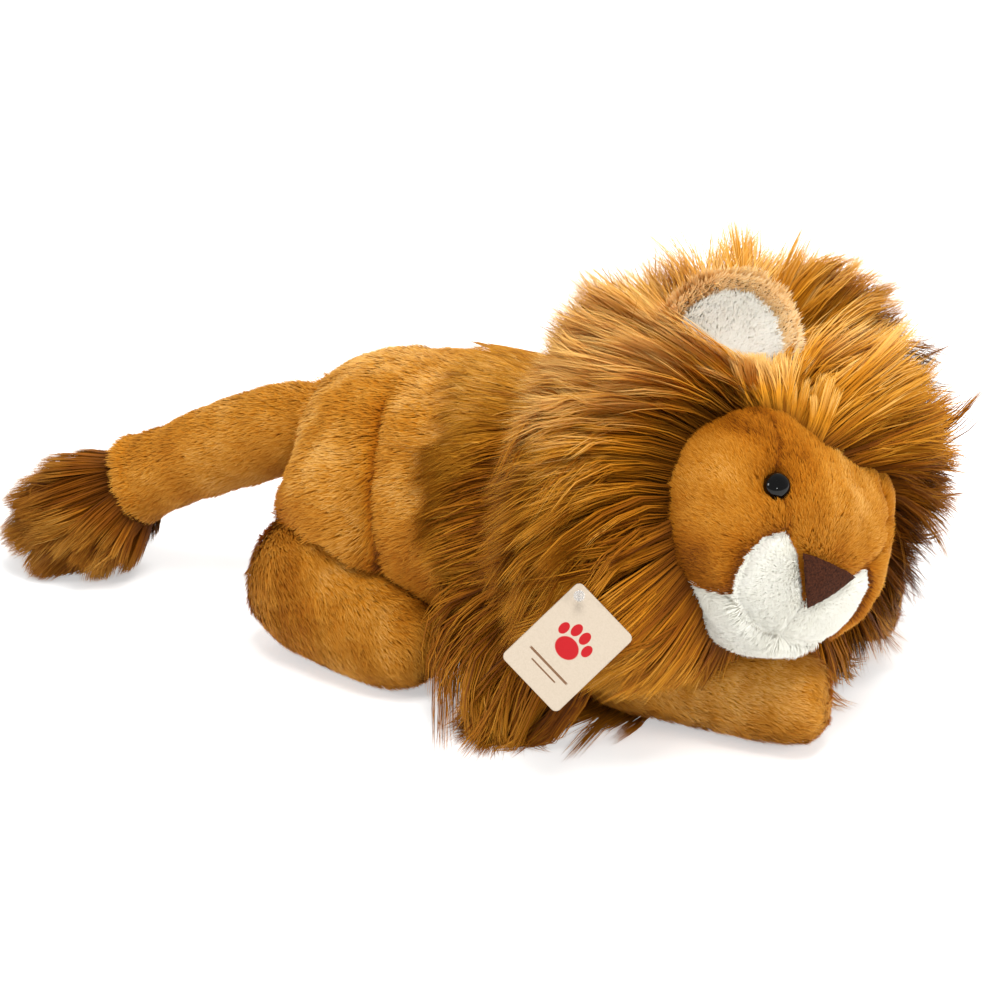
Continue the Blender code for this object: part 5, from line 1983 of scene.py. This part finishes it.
@dataclass
class SwingTag:
    """The folded card on its nylon pin: three leaves, the front one printed with a paw and two lines."""

    finishes: Finishes
    width: float = 0.038
    length: float = 0.052
    corner: float = 0.003
    leaf: float = 0.0006
    gap: float = 0.0005
    hole_radius: float = 0.0022
    hole_inset: float = 0.005
    centre: Place = (0.0214, -0.1326, 0.0775)
    facing: Place = (0.317, -0.827, 0.463)
    up: Place = (0.558, 0.556, 0.611)

    @property
    def frame_matrix(self) -> Matrix:
        """The back leaf's frame: Z along its facing and Y near up."""
        z = Vector(self.facing).normalized()
        x = Vector(self.up).cross(z).normalized()
        return Matrix.Translation(self.centre) @ Matrix((x, z.cross(x), z)).transposed().to_4x4()

    def leaf_piece(self, name: str, level: int, material: bpy.types.Material) -> bpy.types.Object:
        """One leaf, with rounded corners and a punched hole.

        Args:
            name: The piece's name.
            level: Which leaf, counted from the back.
            material: Its material.

        Returns:
            The leaf.
        """
        bpy.ops.object.select_all(action="DESELECT")
        bpy.ops.mesh.primitive_cube_add(size=1.0)
        card = bpy.context.view_layer.objects.active
        card.name = card.data.name = name
        card.data.transform(Matrix.Diagonal((self.width, self.length, self.leaf, 1.0)))
        bpy.ops.object.mode_set(mode="EDIT")
        bpy.ops.mesh.select_all(action="DESELECT")
        bpy.ops.object.mode_set(mode="OBJECT")
        for edge in card.data.edges:
            a, b = (card.data.vertices[i].co for i in edge.vertices)
            edge.select = abs(a.z - b.z) > self.leaf / 2
        bpy.ops.object.mode_set(mode="EDIT")
        bpy.ops.mesh.select_mode(type="EDGE")
        bpy.ops.mesh.bevel(offset=self.corner, segments=8, affect="EDGES")
        bpy.ops.object.mode_set(mode="OBJECT")
        bpy.ops.object.select_all(action="DESELECT")
        hole = Vector((-self.width / 2 + self.hole_inset, self.length / 2 - self.hole_inset, 0.0))
        bpy.ops.mesh.primitive_cylinder_add(vertices=28, radius=self.hole_radius, depth=self.corner, location=hole)
        punch = bpy.context.view_layer.objects.active
        cut = card.modifiers.new("punch", "BOOLEAN")
        cut.operation, cut.solver, cut.object = "DIFFERENCE", "EXACT", punch
        applied(card)
        bpy.data.objects.remove(punch)
        rounding = card.modifiers.new("edge", "BEVEL")
        rounding.width, rounding.segments, rounding.limit_method = self.leaf * 0.2, 1, "ANGLE"
        applied(card)
        card.data.transform(self.frame_matrix @ Matrix.Translation((0.0, 0.0, level * (self.leaf + self.gap))))
        give_finish(card, material)
        card.data.shade_smooth()
        only(card)
        bpy.ops.object.shade_smooth_by_angle(angle=math.radians(30))
        return card

    def build(self) -> None:
        """Builds the three leaves, and finishes the pin."""
        bare = CardFinish("tag_card_inside").material()
        top = self.frame_matrix @ Matrix.Translation((0.0, 0.0, 2 * (self.leaf + self.gap)))
        printed = CardFinish("tag_card_printed").material(top)
        names = (("tag_back_leaf", "tag"), ("tag_page", "tag"), ("tag_front_leaf", "tag_leaf"))
        for level, (node, body) in enumerate(names):
            card = self.leaf_piece(node + "_card", level, printed if level == 2 else bare)
            dress(card, body, (node,))
        give_finish(frame["nodes"]["tag_pin"], self.finishes.nylon)


# The studio


@dataclass
class Studio:
    """Floor, lamps and the camera at the photograph's angle."""

    azimuth: float = math.radians(21)
    elevation: float = math.radians(27.6)
    target: Place = (-0.064, 0.0, 0.076)
    distance: float = 3.0
    lens: float = 216.0
    sky: float = 0.48
    floor_colours: tuple[str, str] = ("#EFEFED", "#F4F4F2")
    mottles_per_m: float = 3.0
    glow: float = 0.45  # what the floor adds where the camera sees it
    drop: float = 0.0002  # how far under the lion it lies

    @staticmethod
    def shown(tree: bpy.types.NodeTree, *kinds: str) -> bpy.types.NodeSocket:
        """An output that is 1 for the camera's rays and for the kinds of ray that are named.

        Args:
            tree: The node tree.
            *kinds: The light path's names for those kinds.

        Returns:
            The output.
        """
        rays = add_node(tree, "ShaderNodeLightPath").outputs
        seen = rays["Is Camera Ray"]
        for kind in kinds:
            seen = add_node(tree, "ShaderNodeMath", {0: seen, 1: rays[kind]}, operation="MAXIMUM").outputs[0]
        return seen

    def build_camera(self) -> None:
        """Makes the camera."""
        level, rise = math.cos(self.elevation), math.sin(self.elevation)
        back = Vector((math.sin(self.azimuth) * level, -math.cos(self.azimuth) * level, rise))
        camera = bpy.data.objects.new("camera", bpy.data.cameras.new("camera"))
        camera.data.lens = self.lens
        camera.data.sensor_width = 36.0
        camera.location = Vector(self.target) + back * self.distance
        camera.rotation_euler = (-back).to_track_quat("-Z", "Y").to_euler()
        bpy.context.scene.collection.objects.link(camera)
        bpy.context.scene.camera = camera

    def build_floor(self) -> None:
        """Makes the floor, white to the camera and still taking shadow."""
        bpy.ops.object.select_all(action="DESELECT")
        bpy.ops.mesh.primitive_plane_add(size=24.0, location=(0.0, 0.0, -self.drop))
        floor = bpy.context.view_layer.objects.active
        floor.name = "floor"
        material, tree, shader = new_material("matt_white_floor", Roughness=0.9)
        colour = mottled(tree, list(zip((0.3, 0.7), self.floor_colours)), Scale=self.mottles_per_m)[2]
        tree.links.new(colour, shader.inputs["Base Color"])
        seen = self.shown(tree, "Is Glossy Ray", "Is Transmission Ray")
        glow = add_node(tree, "ShaderNodeEmission", {"Color": linear("#FFFFFF"), "Strength": self.glow})
        lit = add_node(tree, "ShaderNodeAddShader", {0: shader.outputs[0], 1: glow.outputs[0]})
        mix = add_node(tree, "ShaderNodeMixShader", {0: seen, 1: shader.outputs[0], 2: lit.outputs[0]})
        output = next(node for node in tree.nodes if node.type == "OUTPUT_MATERIAL")
        tree.links.new(mix.outputs[0], output.inputs["Surface"])
        floor.data.materials.append(material)

    def build_lamps(self) -> None:
        """Makes the lamps and the plain sky."""
        lamps = (  # name, place, size and power
            ("key", (0.4, -0.7, 2.6), 1.4, 50.0),
            ("side", (2.3, -0.7, 1.1), 1.2, 24.0),
            ("back", (0.0, 1.7, 1.9), 1.6, 30.0),
            ("fill", (-1.9, -1.4, 1.2), 0.7, 14.0),
            ("front", (1.3, -2.4, 1.0), 0.30, 6.0),
        )
        for name, place, size, power in lamps:
            light = bpy.data.lights.new(name, "AREA")
            light.shape, light.size, light.energy = "DISK", size, power
            lamp = bpy.data.objects.new(name, light)
            lamp.location = place
            lamp.rotation_euler = (Vector((0, 0, 0.08)) - Vector(place)).to_track_quat("-Z", "Y").to_euler()
            lamp.visible_glossy = name in ("fill", "front")  # the small ones alone show in the eyes
            bpy.context.scene.collection.objects.link(lamp)
        world = bpy.data.worlds.new("sky")
        bpy.context.scene.world = world
        world.use_nodes = True
        tree = world.node_tree
        tree.nodes.clear()
        seen = self.shown(tree, "Is Transmission Ray")
        soft, white = (
            add_node(tree, "ShaderNodeBackground", {"Color": linear("#FFFFFF"), "Strength": strength})
            for strength in (self.sky, 1.0)
        )
        mix = add_node(tree, "ShaderNodeMixShader", {0: seen, 1: soft.outputs[0], 2: white.outputs[0]})
        add_node(tree, "ShaderNodeOutputWorld", {"Surface": mix.outputs[0]})


def main() -> None:
    """Builds the lion and its studio."""
    logging.basicConfig(level=logging.INFO, format="%(message)s")
    bpy.context.scene.view_settings.view_transform = "Standard"
    studio = Studio()
    studio.build_camera()
    studio.build_floor()
    studio.build_lamps()
    finishes = Finishes()
    torso_skin = Torso(finishes).build()
    for side in Side:
        Leg(finishes, "hindleg", side, (0.65, 0.15, -0.60), 21 + int(side.value), pale=-0.07).build()
        # the forelegs' paler lot is painted light, lifting the shadow that the head casts on them
        Leg(finishes, "foreleg", side, (0.95, 0.1, -0.1), 31 + int(side.value), pale=0.14).build()
    Tail(finishes).build()
    head = Head(finishes)
    head_skin = head.build()
    ears = {side: Ear(finishes, side) for side in Side}
    for ear in ears.values():
        ear.build()
    tag = SwingTag(finishes)
    mane = Mane(finishes, head.lines, head_skin, torso_skin, ears[Side.RIGHT].keep_out, tag.frame_matrix)
    mane.build_edge()
    mane.build_forelock()
    mane.build_ruff()
    mane.build_cape()
    tag.build()


if __name__ == "__main__":
    main()
